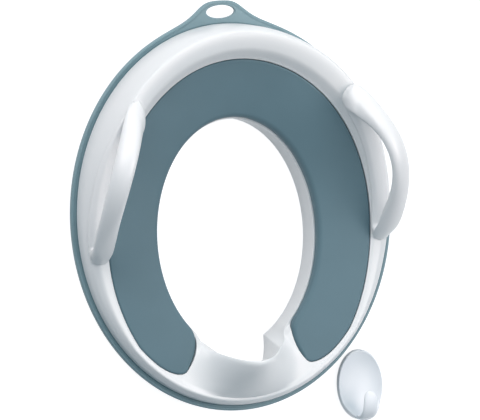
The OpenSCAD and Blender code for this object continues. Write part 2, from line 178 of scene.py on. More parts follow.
def bezier(p0: Point, p1: Point, p2: Point, p3: Point, count: int = 24) -> Array:
    """Cubic Bezier curve: (1-u)^3 p0 + 3 (1-u)^2 u p1 + 3 (1-u) u^2 p2 + u^3 p3.

    Args:
        p0: Start.
        p1: Point that the curve leaves towards.
        p2: Point that it arrives from.
        p3: End.
        count: How many points to return.

    Returns:
        The curve, (count, d).
    """
    u = np.linspace(0, 1, count)[:, None]
    return (1 - u) ** 3 * p0 + 3 * (1 - u) ** 2 * u * p1 + 3 * (1 - u) * u * u * p2 + u**3 * p3


# -------------------- meshes


def grid_faces(rows: int, cols: int, close_rows: bool, close_cols: bool) -> Array:
    """Quads of a grid of points, numbered row by row.

    Args:
        rows: Number of rows.
        cols: Number of columns.
        close_rows: Whether the last row joins the first.
        close_cols: Whether the last column joins the first.

    Returns:
        Vertex numbers, (faces, 4).
    """
    i, j = np.meshgrid(
        np.arange(rows - (0 if close_rows else 1)), np.arange(cols - (0 if close_cols else 1)), indexing="ij"
    )
    n, m = (i + 1) % rows, (j + 1) % cols
    return np.stack([i * cols + j, i * cols + m, n * cols + m, n * cols + j], axis=-1).reshape(-1, 4)


def make_piece(name: str, points: Array, faces: Array, sharp: float) -> bpy.types.Object:
    """Mesh object from points in millimetres, merged, closed outwards and shaded smooth up to an angle.

    Args:
        name: The object's name.
        points: Vertices, (n, 3), in millimetres.
        faces: Vertex numbers of each face, (faces, 4).
        sharp: Angle in degrees past which an edge is drawn sharp.

    Returns:
        The new object, linked to the scene, at the origin.
    """
    mesh = bpy.data.meshes.new(name)
    mesh.from_pydata((points * MM).tolist(), [], faces.tolist())
    edit = bmesh.new()
    edit.from_mesh(mesh)
    bmesh.ops.remove_doubles(edit, verts=edit.verts, dist=MERGE_GAP * MM)
    bmesh.ops.dissolve_degenerate(edit, edges=edit.edges, dist=MERGE_GAP / 2 * MM)
    bmesh.ops.recalc_face_normals(edit, faces=edit.faces)
    edit.to_mesh(mesh)
    edit.free()
    mesh.polygons.foreach_set("use_smooth", np.ones(len(mesh.polygons), bool))
    mesh.set_sharp_from_angle(angle=float(np.radians(sharp)))
    mesh.update()
    piece = bpy.data.objects.new(name, mesh)
    bpy.context.scene.collection.objects.link(piece)
    return piece


@dataclass
class Window:
    """A hole cut through two sheets of one grid: a block of cells is left out of each sheet and its border is
    joined to the hole's rings.

    Attributes:
        ring: Makes an outline of the hole from the angles round it and the depth, from 0 at the top to 1.
        depths: Depths of the outlines.
        centre: Middle of the hole in plan.
        upper: First and last row of the block in the upper sheet.
        lower: First and last row of the block in the lower sheet, as far apart as the upper ones.
        cols: First and last column of both blocks.
    """

    ring: RingMaker
    depths: Sequence[float]
    centre: tuple[float, float]
    upper: tuple[int, int]
    lower: tuple[int, int]
    cols: tuple[int, int]

    def border(self, rows: tuple[int, int], cols_total: int) -> Array:
        """Vertex numbers round a block, in order.

        Args:
            rows: First and last row of the block.
            cols_total: Columns of the whole grid.

        Returns:
            The numbers, (points on the border,).
        """
        (a, b), (c, d) = rows, self.cols
        up = [(a, j) for j in range(c, d)] + [(i, d) for i in range(a, b)]
        back = [(b, j) for j in range(d, c, -1)] + [(i, c) for i in range(b, a, -1)]
        return np.array([i * cols_total + j % cols_total for i, j in up + back])


def punched(grid: Array, windows: Sequence[Window]) -> tuple[Array, Array]:
    """Grid, closed both ways, with holes in it.

    A block's border points are sorted by their angle round the hole's centre, each ring has one point at each
    of those angles, and quads join border to ring, ring to ring and ring to border.

    Args:
        grid: Grid of points, (rows, cols, 3).
        windows: The holes.

    Returns:
        All vertices, (n, 3), and all faces, (faces, 4).
    """
    rows, cols = grid.shape[:2]
    points, faces = grid.reshape(-1, 3), grid_faces(rows, cols, True, True)
    row, col = faces[:, 0] // cols, faces[:, 0] % cols
    keep = np.ones(len(faces), bool)
    extra_points, extra_faces, total = [points], [], len(points)
    for w in windows:
        for low, high in (sorted(w.upper), sorted(w.lower)):
            across = (col - w.cols[0]) % cols < w.cols[1] - w.cols[0]
            keep &= ~(across & (row >= low) & (row < high))
        centre, loops = np.array(w.centre), []
        for block in (w.upper, w.lower):
            ids = w.border((min(block), max(block)), cols)
            flat = points[ids, :2] - centre
            reach = np.abs(flat).max(axis=0)
            angle = np.arctan2(flat[:, 1] / reach[1], flat[:, 0] / reach[0])
            order = np.argsort(angle)
            loops.append((ids[order], angle[order]))
        (top, top_angle), (bottom, bottom_angle) = loops
        chain = [top]
        for depth in w.depths:
            ring = w.ring(mix(top_angle, bottom_angle, depth), depth)
            extra_points.append(ring)
            chain.append(np.arange(total, total + len(ring)))
            total += len(ring)
        chain.append(bottom)
        for one, two in zip(chain, chain[1:]):
            extra_faces.append(np.stack([one, np.roll(one, -1), np.roll(two, -1), two], axis=1))
    return np.concatenate(extra_points), np.concatenate([faces[keep], *extra_faces])


# -------------------- the seat's surfaces


@dataclass(frozen=True)
class SeatForm:
    """Sizes of the seat in millimetres and the surfaces they make.

    A place on the seat is (s, t): t is the angle round the seat in degrees, from -90 at the front to 90 at
    the back, and s runs from 0 at the opening's edge to 1 at the shell's outer edge. Angles on the left go on
    from 90 to 270. "From the front" is an angle counted from the front to either side.

    Attributes:
        rim_half_width: Half width of the shell's outer oval.
        rim_half_length: Half length of the shell's outer oval.
        hole_half_width: Half width of the opening's oval.
        hole_half_length: Half length of the opening's oval.
        hole_offset: How far the opening lies in front of the middle.
        wall: Thickness of the shell.
        lip_z: Height of the lip round the opening.
        lip_step: How far the recess floor lies under the lip.
        ring_top: Height of the shell's outer edge, on the base ring.
        side_z: Height of the cushion's outer edge along the sides and front.
        crest_side_z: Height of the rim's crest along the sides and front.
        crest_back_z: Height of the rim's crest at the back.
        pad_back_z: Height of the cushion's outer edge at the back.
        rise_from: Angle at which the rim starts to rise to the back.
        rise_to: Angle from which the rim has its full height.
        guard_height: Height of the splash guard above the lip.
        guard_half_width: Half width of the guard at the opening.
        guard_spread: How much wider its half width grows towards the outer edge.
        guard_power: Power of the guard's outline at the opening.
        guard_power_gain: How much that power grows towards the outer edge.
        guard_limit: Angle past which there is no guard.
        guard_lean: How far the guard's top edge leans outwards.
        guard_edge_s: Place along s at which the guard's edge takes its height.
        ridge_s: Places along s of the guard's fall from the lip to the outer edge.
        ridge_share: Share of the guard's height left at those places.
        notch_reach: Depth of the recess in the inner wall under the guard.
        notch_corner_angle: Angle from the front at which the recess starts.
        notch_back_angle: Angle from the front within which it has its full depth.
        notch_soft: Share of the step that is eased at each of its corners.
        flare: How far the inner wall's top leans outwards beside the recess.
        flare_turn: Degrees over which that lean fades out along the side.
        flare_from: Angle from the front at which the lip starts to follow that lean.
        flare_ease: Degrees over which the lip takes it up.
        pad_half_width: Half width of the oval along the cushion's outer edge.
        pad_half_length: Half length of that oval.
        pad_offset: How far that oval lies in front of the middle.
        pad_thickness: Thickness of the cushion.
        bare_rim: Least width of rim outside the cushion.
        pad_tip_angle: Angle of the cushion's tips.
        pad_full_angle: Angle behind which the tips' outer rounding ends.
        pad_round_angle: Angle behind which the tips' inner rounding ends.
        pad_tip_s: Place of the tips along s.
        lip_s: Width of the lip as a share of the section.
        grip_inset: How far the handles' line lies inside the rim's half width.
        grip_end_inset: How far it lies inside the rim's half length.
        grip_offset: How far its oval lies in front of the middle.
        stud_s: Place of the studs along s.
        stud_angles: Angles of the studs.
        post_angles: Angles of the handles' posts, the right handle's first.
        ring_screw_s: Place of the ring's screws along s.
        ring_screw_angles: Angles of the ring's screws.
    """

    rim_half_width: float = 146.0
    rim_half_length: float = 170.0
    hole_half_width: float = 74.0
    hole_half_length: float = 103.0
    hole_offset: float = 17.5
    wall: float = 2.6
    lip_z: float = 28.0
    lip_step: float = 0.4
    ring_top: float = 24.0
    side_z: float = 38.0
    crest_side_z: float = 39.5
    crest_back_z: float = 73.0
    pad_back_z: float = 56.0
    rise_from: float = -22.0
    rise_to: float = 52.0
    guard_height: float = 46.0
    guard_half_width: float = 37.0
    guard_spread: float = 30.0
    guard_power: float = 1.3
    guard_power_gain: float = 1.5
    guard_limit: float = -40.0
    guard_lean: float = 6.5
    guard_edge_s: float = 0.05
    ridge_s: tuple[float, ...] = (0, 0.1, 0.17, 0.3, 0.45, 0.6, 0.75, 0.88, 1)
    ridge_share: tuple[float, ...] = (1, 1, 1, 0.93, 0.8, 0.64, 0.46, 0.25, 0)
    notch_reach: float = 19.5
    notch_corner_angle: float = 24.0
    notch_back_angle: float = 16.1
    notch_soft: float = 0.05
    flare: float = 7.0
    flare_turn: float = 12.0
    flare_from: float = 13.0
    flare_ease: float = 12.0
    pad_half_width: float = 124.0
    pad_half_length: float = 155.5
    pad_offset: float = 16.5
    pad_thickness: float = 8.0
    bare_rim: float = 10.0
    pad_tip_angle: float = -61.7
    pad_full_angle: float = -48.0
    pad_round_angle: float = -48.0
    pad_tip_s: float = 0.60
    lip_s: float = 0.017
    grip_inset: float = 10.2
    grip_end_inset: float = 7.0
    grip_offset: float = 6.0
    stud_s: float = 0.34
    stud_angles: tuple[float, ...] = (72, 108, 22, 158, -26, 206)
    post_angles: tuple[float, ...] = (-7, 38, 142, 187)
    ring_screw_s: float = 0.5
    ring_screw_angles: tuple[float, ...] = (62, 118, 2, 178, -52, 232)

    def oval(self, t: Array, half_width: float, half_length: float, shift: float) -> Array:
        """Points of an oval, (..., 2): (half width * cos t, shift + half length * sin t)."""
        a = np.radians(t)
        return np.stack([half_width * np.cos(a), shift + half_length * np.sin(a)], axis=-1)

    def elevation(self, t: Array) -> Array:
        """Angle above the seat's cross axis, the same on both sides, from -90 to 90."""
        return np.degrees(np.arcsin(np.clip(np.sin(np.radians(t)), -1, 1)))

    def from_front(self, t: Array) -> Array:
        """Angle from the front to either side, from 0 to 180."""
        return self.elevation(t) + 90

    def plan(self, s: Array | float, t: Array) -> Array:
        """Plan position: the share s of the line from the opening's oval to the rim's at angle t.

        Args:
            s: Shares from the opening to the outer edge.
            t: Angles round the seat.

        Returns:
            Points, (..., 2).
        """
        hole = self.oval(t, self.hole_half_width, self.hole_half_length, -self.hole_offset)
        rim = self.oval(t, self.rim_half_width, self.rim_half_length, 0)
        return hole + np.asarray(s)[..., None] * (rim - hole)

    def span(self, t: Array) -> Array:
        """Plan length of the section line, from s = 0 to s = 1."""
        return np.linalg.norm(self.plan(1.0, t) - self.plan(0.0, t), axis=-1)

    def place(self, s: Array | float, t: Array, z: Array | float) -> Array:
        """Points in space over (s, t), (..., 3)."""
        flat = self.plan(s, t)
        return np.concatenate([flat, np.broadcast_to(z, flat.shape[:-1])[..., None]], axis=-1)

    def locate(self, x: Array, y: Array) -> Path:
        """The (s, t) over plan points, by Newton's method from the points' own directions.

        Args:
            x: Positions across the seat.
            y: Positions along the seat.

        Returns:
            The shares s and the angles t.
        """
        t = np.degrees(np.arctan2(y / self.rim_half_length, x / self.rim_half_width))
        s = np.full_like(t, 0.5)
        target = np.stack([x, y], axis=-1)
        small_s, small_t, rounds = 1e-4, 1e-3, 12
        for _ in range(rounds):
            here = self.plan(s, t)
            ds = (self.plan(s + small_s, t) - here) / small_s
            dt = (self.plan(s, t + small_t) - here) / small_t
            gap = target - here
            det = ds[..., 0] * dt[..., 1] - ds[..., 1] * dt[..., 0]
            s = s + (gap[..., 0] * dt[..., 1] - gap[..., 1] * dt[..., 0]) / det
            t = t + np.clip((ds[..., 0] * gap[..., 1] - ds[..., 1] * gap[..., 0]) / det, -20, 20)
        return s, t

    def crossing(self, t: Array, half_width: float, half_length: float, shift: float) -> Array:
        """The s at which a section line crosses an oval: the larger root of the oval's quadratic.

        Args:
            t: Angles of the section lines.
            half_width: Half width of the oval.
            half_length: Half length of the oval.
            shift: Place of its centre along the seat.

        Returns:
            The s of each crossing.
        """
        size = np.array([half_width, half_length])
        h = (self.plan(0.0, t) - np.array([0, shift])) / size
        d = (self.plan(1.0, t) - self.plan(0.0, t)) / size
        qa, qb, qc = (d * d).sum(-1), (h * d).sum(-1), (h * h).sum(-1) - 1
        return (-qb + np.sqrt(np.maximum(qb * qb - qa * qc, 0))) / qa

    def back_rise(self, t: Array) -> Array:
        """Share of the raised back at an angle, 0 along the front and 1 at the back."""
        return smooth((self.elevation(t) - self.rise_from) / (self.rise_to - self.rise_from))

    def pad_edge_z(self, t: Array) -> Array:
        """Height of the cushion's outer edge."""
        return mix(self.side_z, self.pad_back_z, self.back_rise(t))

    def pad_edge_s(self, t: Array) -> Array:
        """Where the cushion's outer edge lies along s."""
        oval = self.crossing(t, self.pad_half_width, self.pad_half_length, -self.pad_offset)
        return np.minimum(oval, 1 - self.bare_rim / self.span(t))

    def crest_s(self, t: Array) -> Array:
        """Where the rim's crest lies along s."""
        return mix(self.pad_edge_s(t), 1, 0.42 + 0.37 * self.back_rise(t))

    def guard_share(self, s: Array, t: Array) -> Array:
        """Share of the splash guard's height: (1 - (x / half width)^2)^power along the front, 0 elsewhere.

        The guard widens and its flanks grow softer as it runs down to the outer edge: its half width and its
        power grow in proportion to s.

        Args:
            s: Shares from the opening to the outer edge.
            t: Angles round the seat.

        Returns:
            Shares from 0 to 1.
        """
        x = self.plan(s, t)[..., 0] / (self.guard_half_width + self.guard_spread * s)
        share = np.maximum(0, 1 - x * x) ** (self.guard_power + self.guard_power_gain * s)
        return np.where(self.elevation(t) > self.guard_limit, 0, share)

    def skin(self, s: Array | float, t: Array) -> Array:
        """Height of the shell's upper surface with the recess filled in.

        A monotone curve climbs from the lip over the seat to the rim's crest and falls to the base ring. The
        guard is a second curve that falls from the lip to the rim, blended in by the guard's share.

        Args:
            s: Shares from the opening to the outer edge.
            t: Angles round the seat.

        Returns:
            Heights, of the shape that s and t make together.
        """
        s, t = np.broadcast_arrays(np.asarray(s, float), np.asarray(t, float))
        shape, s, t = s.shape, s.reshape(1, -1), t.reshape(-1)
        one = np.ones_like(t)
        edge_s, edge_z, crest_s = self.pad_edge_s(t), self.pad_edge_z(t), self.crest_s(t)
        crest_z = mix(self.crest_side_z, self.crest_back_z, self.back_rise(t))
        drop = crest_z - self.ring_top
        knots_and_heights = (
            (0 * one, self.lip_z * one),
            (0.02 * one, self.lip_z * one),
            (0.12 * one, (self.lip_z + 0.72 * self.pad_thickness) * one),
            (0.3 * one, mix(self.lip_z + self.pad_thickness, edge_z, 0.3)),
            (edge_s, edge_z),
            (mix(edge_s, crest_s, 0.4), mix(edge_z, crest_z, 0.72)),
            (crest_s, crest_z),
            (mix(crest_s, 1, 0.5), crest_z - 0.18 * drop),
            (mix(crest_s, 1, 0.85), crest_z - 0.5 * drop),
            (one, self.ring_top * one),
        )
        knots, heights = (np.stack(column) for column in zip(*knots_and_heights))
        plain = monotone_curve(knots, heights, s)
        ridge_s, ridge_share = (np.array(row)[:, None] * one for row in (self.ridge_s, self.ridge_share))
        guard_top = self.lip_z + self.guard_height - self.ring_top
        ridge = self.ring_top + guard_top * monotone_curve(ridge_s, ridge_share, s)
        return (plain + self.guard_share(s, t[None]) * np.maximum(0, ridge - plain)).reshape(shape)

    def floor(self, s: Array | float, t: Array) -> Array:
        """Height of the recess floor: a straight line from the lip to the cushion's outer edge."""
        outer = self.pad_edge_z(t) - self.pad_thickness
        return mix(self.lip_z - self.lip_step, outer, np.clip(s / self.pad_edge_s(t), 0, 1))

    def pad_inner_s(self, t: Array) -> Array:
        """The cushion's inner edge: along the lip, and a quarter of an oval round each tip."""
        x = (self.pad_round_angle - self.elevation(t)) / (self.pad_round_angle - self.pad_tip_angle)
        return mix(self.pad_tip_s, self.lip_s, quarter(x, 2.2))

    def pad_outer_s(self, t: Array) -> Array:
        """The cushion's outer edge, with a quarter of an oval round each tip."""
        x = (self.pad_full_angle - self.elevation(t)) / (self.pad_full_angle - self.pad_tip_angle)
        return mix(self.pad_tip_s, self.pad_edge_s(t), quarter(x, 2.5))

    def notch_share(self, t: Array, lag: float = 0.0) -> Array:
        """Share of the step that the inner wall takes outwards under the guard, eased at both corners.

        Args:
            t: Angles round the seat.
            lag: How far the step is moved away from the front, in degrees.

        Returns:
            Shares from 0 beside the guard to 1 under it.
        """
        soft, turn = self.notch_soft, self.notch_corner_angle - self.notch_back_angle
        x = (self.notch_corner_angle + lag - self.from_front(t)) / turn
        low = np.where(x < soft, np.clip(x + soft, 0, None) ** 2 / (4 * soft), x)
        return np.where(low > 1 - soft, 1 - np.clip(1 + soft - x, 0, None) ** 2 / (4 * soft), low)

    def wall_s(self, t: Array, lag: float = 0.0) -> Array:
        """Where the inner wall's face lies along s; the lag moves its step round the seat, in degrees."""
        return self.notch_share(t, lag) * self.notch_reach / self.span(t)

    def flare_s(self, t: Array) -> Array:
        """How far along s the inner wall leans outwards at its top, beside the guard."""
        away = (self.from_front(t) - self.notch_corner_angle) / self.flare_turn
        return self.flare / self.span(t) * smooth(1 - np.clip(away, 0, 1))

    def lip_lean(self, t: Array) -> Array:
        """How far along s the lip's edge leans outwards, under the guard and beside it.

        Args:
            t: Angles round the seat.

        Returns:
            The lean as a share of the section.
        """
        share = self.guard_share(np.full_like(t, self.guard_edge_s), t)
        guard = self.guard_lean / self.span(t) * np.clip(3 * share, 0, 1)
        beside = smooth((self.from_front(t) - self.flare_from) / self.flare_ease)
        return np.maximum(guard, beside * self.flare_s(t))

    def lip_top(self, t: Array) -> Array:
        """Height of the inner lip, which rises into the guard at the front.

        Args:
            t: Angles round the seat.

        Returns:
            The larger of the guard's edge and the skin over the leaning edge.
        """
        share = self.guard_share(np.full_like(t, self.guard_edge_s), t)
        guard = mix(self.lip_z, self.lip_z + self.guard_height, share)
        return np.maximum(guard, self.skin(self.lip_lean(t), t))

    def grip_s(self, t: Array) -> Array:
        """The line along the rim that the handles stand on, an oval inside the rim's."""
        size = self.rim_half_width - self.grip_inset, self.rim_half_length - self.grip_end_inset
        return self.crossing(t, *size, -self.grip_offset)

    def stations(self, step: float) -> Array:
        """Angles round the seat, closer together at the cushion's tips and the recess's corners.

        Args:
            step: Degrees between stations elsewhere.

        Returns:
            Angles from -90 up to 270, the left half mirroring the right.
        """
        tip_turn, tip_gap, corner_step, least = 12, 0.02, 0.3, 0.012
        even = np.arange(-90, 90 + step / 2, step)
        tips = self.pad_tip_angle + tip_turn * np.linspace(0, 1, 30) ** 2
        corners = np.arange(self.notch_back_angle - 0.9, self.notch_corner_angle + 1.8, corner_step) - 90
        half = np.unique(np.round(np.concatenate([even, tips, [self.pad_tip_angle - tip_gap], corners]), 4))
        half = half[np.concatenate([[True], np.diff(half) > least])]
        return np.concatenate([half, 180 - half[-2:0:-1]])

    def spot(self, s: Array | float, t: float) -> Array:
        """Plan position of one place, (2,)."""
        return self.plan(np.array(s), np.array(float(t)))

    def bore(
        self, t: float, s: float, radius: float, upper: Callable[[Array, Array], Array], thickness: float
    ) -> RingMaker:
        """Ring maker of an upright bore through a sheet: circles that lie on the sheet's surfaces.

        Args:
            t: Angle of the bore.
            s: Place of the bore along s.
            radius: Radius of the bore.
            upper: Height of the sheet's upper surface over (s, t).
            thickness: Height from the lower surface to the upper one.

        Returns:
            A function of the angles round the bore and the depth from 0 to 1 that gives the ring's points.
        """
        centre = self.spot(s, t)

        def ring(angle: Array, depth: float) -> Array:
            """Circle at a depth.

            Args:
                angle: Angles round the bore.
                depth: Depth from 0 at the upper surface to 1 at the lower one.

            Returns:
                Points, (n, 3).
            """
            x, y = centre[0] + radius * np.cos(angle), centre[1] + radius * np.sin(angle)
            high = upper(*self.locate(x, y))
            return np.stack([x, y, mix(high, high - thickness, depth)], axis=1)

        return ring

    def columns_round(self, stations: Array, t: float, s: float, half: float) -> tuple[int, int]:
        """First and last station of the block that reaches half millimetres each side of (s, t).

        Args:
            stations: Angles of all stations.
            t: Angle of the block's middle.
            s: Place of its middle along s.
            half: Half its width.

        Returns:
            The numbers of the two stations nearest to its ends.
        """
        ends = self.plan(np.array([s, s]), np.array([t - 0.5, t + 0.5]))
        turn = half / np.linalg.norm(ends[1] - ends[0])
        first, last = (int(np.abs(stations - (t + sign * turn)).argmin()) for sign in (-1, 1))
        return first, last


# -------------------- mesh parts


@dataclass
class MeshParts:
    """Points and faces of one piece, gathered part by part.

    Attributes:
        points: Vertices of each part, (n, 3).
        faces: Quads of each part, numbered over the whole piece.
    """

    points: list[Array] = field(default_factory=list)
    faces: list[Array] = field(default_factory=list)

    def add(self, points: Array, faces: Array) -> None:
        """Append a part, renumbering its faces after the points already held."""
        self.faces.append(faces + sum(map(len, self.points)))
        self.points.append(points)

    def add_grid(self, grid: Array, close_rows: bool, close_cols: bool) -> None:
        """Append a grid of points, (rows, cols, 3)."""
        rows, cols = grid.shape[:2]
        self.add(grid.reshape(-1, 3), grid_faces(rows, cols, close_rows, close_cols))

    def add_turned(self, centre: Array, profile: Sequence[Point], closed: bool, count: int = 36) -> None:
        """Append a turned shape: a profile of (radius, height) swept round an upright axis.

        Args:
            centre: Plan position of the axis, (2,).
            profile: The (radius, height) pairs.
            closed: Whether the profile's end joins its start.
            count: Points round the axis.
        """
        a = np.linspace(0, 2 * np.pi, count, endpoint=False)
        line = np.array(profile, float)
        r, z = line[:, :1], line[:, 1:]
        grid = np.stack([centre[0] + r * np.cos(a), centre[1] + r * np.sin(a), z + 0 * a], axis=-1)
        self.add_grid(grid, closed, True)

    def build(self, name: str, sharp: float = 38.0) -> bpy.types.Object:
        """Make the piece's object."""
        return make_piece(name, np.concatenate(self.points), np.concatenate(self.faces), sharp)


# -------------------- pieces of the seat


class Block(Enum):
    """Blocks of the shell's rows that bores are cut through, each a part of one sheet."""

    FLOOR = "recess floor"
    UNDER_FLOOR = "underside of the recess floor"
    RIM = "rim under the handles"
    UNDER_RIM = "underside of the rim"


@dataclass
class ShellSection:
    """The shell's closed section line at every station, gathered part by part.

    The line is a list of (s, z) pairs with one value per station. It runs up the inner wall's face, over the
    lip, the recess floor and the rim, and back along the underside to the inner wall's other face.

    Attributes:
        form: Shared sizes and surfaces.
        t: Angles of the stations.
        block: Half width of the blocks that bores are cut through.
        foot_round: Size of the small round at the inner wall's foot.
        line: The line so far.
        first_rows: First row of each block.
        span: Width of the section at each station.
        wall: Thickness of the wall along s.
        drop: Height through the wall.
        top: Height of the lip's edge.
        lip: Place of the lip's edge along s.
        edge_round: Radius of the lip's edge.
        has_pad: Whether the cushion reaches the station.
        recess_in: Inner edge of the recess along s.
        recess_out: Its outer edge.
        stud_s: Middle of the block for the studs' bores.
        stud_half: Half its width along s.
        post_s: Middle of the block for the posts' bores.
        post_half: Half its width along s.
    """

    form: SeatForm
    t: Array
    block: float = 5.2
    foot_round: float = 0.8
    line: list[Path] = field(default_factory=list)
    first_rows: dict[Block, int] = field(default_factory=dict)
    span: Array = field(init=False)
    wall: Array = field(init=False)
    drop: float = field(init=False)
    top: Array = field(init=False)
    lip: Array = field(init=False)
    edge_round: Array = field(init=False)
    has_pad: Array = field(init=False)
    recess_in: Array = field(init=False)
    recess_out: Array = field(init=False)
    stud_s: Array = field(init=False)
    stud_half: Array = field(init=False)
    post_s: Array = field(init=False)
    post_half: Array = field(init=False)

    def __post_init__(self) -> None:
        """Work out what the parts of the line share. The blocks stay inside the recess and inside the rim."""
        f, t = self.form, self.t
        d, up = f.span(t), f.elevation(t)
        self.span, self.wall, self.drop = d, f.wall / d, f.wall * SHEET_SHARE
        self.top, self.lip = f.lip_top(t), f.lip_lean(t)
        self.edge_round = mix(1.2, 0.4, smooth((up + 66) / 4))
        self.has_pad = up >= f.pad_tip_angle - 1e-6
        self.recess_in = f.pad_inner_s(t) - np.where(self.has_pad, 0.01, 0.06)
        self.recess_out = f.pad_outer_s(t) + np.where(self.has_pad, 0.004, 0.06)
        width = self.recess_out - self.recess_in
        self.stud_s = np.clip(f.stud_s, self.recess_in + 0.25 * width, self.recess_out - 0.25 * width)
        self.stud_half = np.minimum(self.block / d, 0.2 * width)
        rim = 1 - self.recess_out
        self.post_s = np.clip(f.grip_s(t), self.recess_out + 0.25 * rim, 1 - 0.2 * rim)
        self.post_half = np.minimum(self.block / d, 0.18 * rim)

    def bed(self, s: Array) -> Array:
        """Height of the recess floor, or of the skin where the cushion doesn't reach."""
        return np.where(self.has_pad, self.form.floor(s, self.t), self.form.skin(s, self.t))

    def lean(self, z: Array | float) -> Array:
        """How far the inner wall leans outwards at a height: the flare times the height's share^1.2."""
        share = np.clip((z - self.foot_round) / (self.top - self.edge_round - self.foot_round), 0, 1)
        return self.form.flare_s(self.t) * share**1.2

    def joined(self, step: Array, lean: Array) -> Array:
        """The larger of the recess's step and the lean, eased where they meet: the 8-norm of both."""
        return (step**8 + lean**8) ** 0.125

    def under_rim(self, s: Array) -> Path:
        """The rim's underside: the skin moved down by the wall, and inwards as well towards the outer edge.

        Args:
            s: Places along s on the upper side.

        Returns:
            Places and heights of the underside.
        """
        f, t = self.form, self.t
        thin = np.clip((s - f.crest_s(t)) / (1 - f.crest_s(t)), 0, 1) ** 2
        return s - self.wall * thin, f.skin(s, t) - self.drop * (1 - 0.5 * thin)

    def add_inner_wall(self) -> None:
        """Foot and face of the inner wall, its lean into the lip's edge, and that edge's round."""
        f, t, d, r, step_turn = self.form, self.t, self.span, self.edge_round, -1.6
        foot, small, z0 = f.wall_s(t), self.foot_round, 0 * t
        straight = self.top - 1.5 - 6 * f.notch_share(t)
        self.line += [(foot + small / d, z0), (foot + 0.23 / d, z0 + 0.23), (foot, z0 + small)]
        for u in np.linspace(0, 1, 9)[1:]:
            z = mix(small, straight, u)
            self.line.append((self.joined(f.wall_s(t, step_turn * u), self.lean(z)), z))
        high = self.joined(f.wall_s(t, step_turn), self.lean(straight))
        for u in np.linspace(0, 1, 9)[1:]:
            self.line.append((mix(high, self.lip, smooth(u)), mix(straight, self.top - r, u)))
        for turn in np.radians([22, 45, 68, 90]):
            self.line.append((self.lip + r / d * (1 - np.cos(turn)), self.top - r * (1 - np.sin(turn))))

    def add_upper_side(self) -> None:
        """The lip, the recess floor with its block, and the rim with its block, out to the shell's edge."""
        f, t, m, e, g, q = self.form, self.t, self.stud_s, self.stud_half, self.post_s, self.post_half
        a, b = self.recess_in, self.recess_out
        start = np.minimum(self.lip + self.edge_round / self.span, a)
        lift = self.top - f.skin(start, t)
        for u in np.linspace(0, 1, 15)[1:]:
            s = mix(start, a, u)
            self.line.append((s, f.skin(s, t) + lift * (1 - u) ** 2))
        floor = [a, mix(a, m - e, 0.35), mix(a, m - e, 0.7)]
        self.line += [(s, self.bed(s)) for s in floor]
        self.first_rows[Block.FLOOR] = len(self.line)
        floor = [m + k * e for k in (-1, 0, 1)] + [mix(m + e, b, u) for u in (0.2, 0.4, 0.6, 0.8, 1.0)]
        self.line += [(s, self.bed(s)) for s in floor]
        rim = [mix(b, g - q, u) for u in np.linspace(0, 1, 10)[:-1]]
        self.line += [(s, f.skin(s, t)) for s in rim]
        self.first_rows[Block.RIM] = len(self.line)
        ease = 1 - (1 - np.linspace(0, 1, 13)[1:]) ** 1.7
        rim = [g + k * q for k in np.linspace(-1, 1, 9)] + [mix(g + q, 1, u) for u in ease]
        self.line += [(s, f.skin(s, t)) for s in rim]
        self.line.append((1 - self.wall, 0 * t + f.ring_top))

    def add_underside(self) -> None:
        """The underside of the rim and of the recess floor, each with its block, back to the inner wall."""
        f, t, m, e, g, q = self.form, self.t, self.stud_s, self.stud_half, self.post_s, self.post_half
        a, b, drop = self.recess_in, self.recess_out, self.drop
        self.line += [self.under_rim(mix(g + q, 1, u)) for u in (0.9, 0.6, 0.3)]
        self.first_rows[Block.UNDER_RIM] = len(self.line)
        self.line += [self.under_rim(g + k * q) for k in np.linspace(1, -1, 9)]
        inside = np.minimum(b + self.wall, g - q)
        self.line += [(inside, f.skin(inside, t) - drop), (inside, self.bed(b) - drop)]
        self.line += [(s, self.bed(s) - drop) for s in (mix(b, m + e, u) for u in (0.3, 0.65))]
        self.first_rows[Block.UNDER_FLOOR] = len(self.line)
        self.line += [(s, self.bed(s) - drop) for s in (m + k * e for k in (1, 0, -1))]
        end = np.maximum(f.wall_s(t, HOLLOW_LAG), f.flare_s(t)) + self.wall
        floor = [np.maximum(mix(m - e, a, u), end) for u in (0.35, 0.7, 1.0)]
        self.line += [(s, self.bed(s) - drop) for s in floor]
        lip = [np.maximum(mix(a, end, u), end) for u in (0.3, 0.6, 0.9)]
        self.line += [(s, f.skin(s, t) - drop) for s in lip]

        last = np.minimum(f.skin(end, t), self.bed(np.maximum(a, end))) - drop
        for u in np.linspace(0, 1, 9):
            z = mix(last, self.foot_round, u)
            self.line.append((np.maximum(f.wall_s(t, HOLLOW_LAG), self.lean(z)) + self.wall, z))
        low, d = f.wall_s(t, HOLLOW_LAG) + self.wall, self.span
        self.line += [(low - 0.23 / d, 0 * t + 0.23), (low - self.foot_round / d, 0 * t)]

    def grid(self) -> Array:
        """The whole line as points in space.

        Returns:
            Points, (rows, stations, 3).
        """
        self.add_inner_wall()
        self.add_upper_side()
        self.add_underside()
        shape = self.t.shape
        s, z = (np.stack([np.broadcast_to(row, shape) for row in column]) for column in zip(*self.line))
        return self.form.place(s, self.t[None], z)


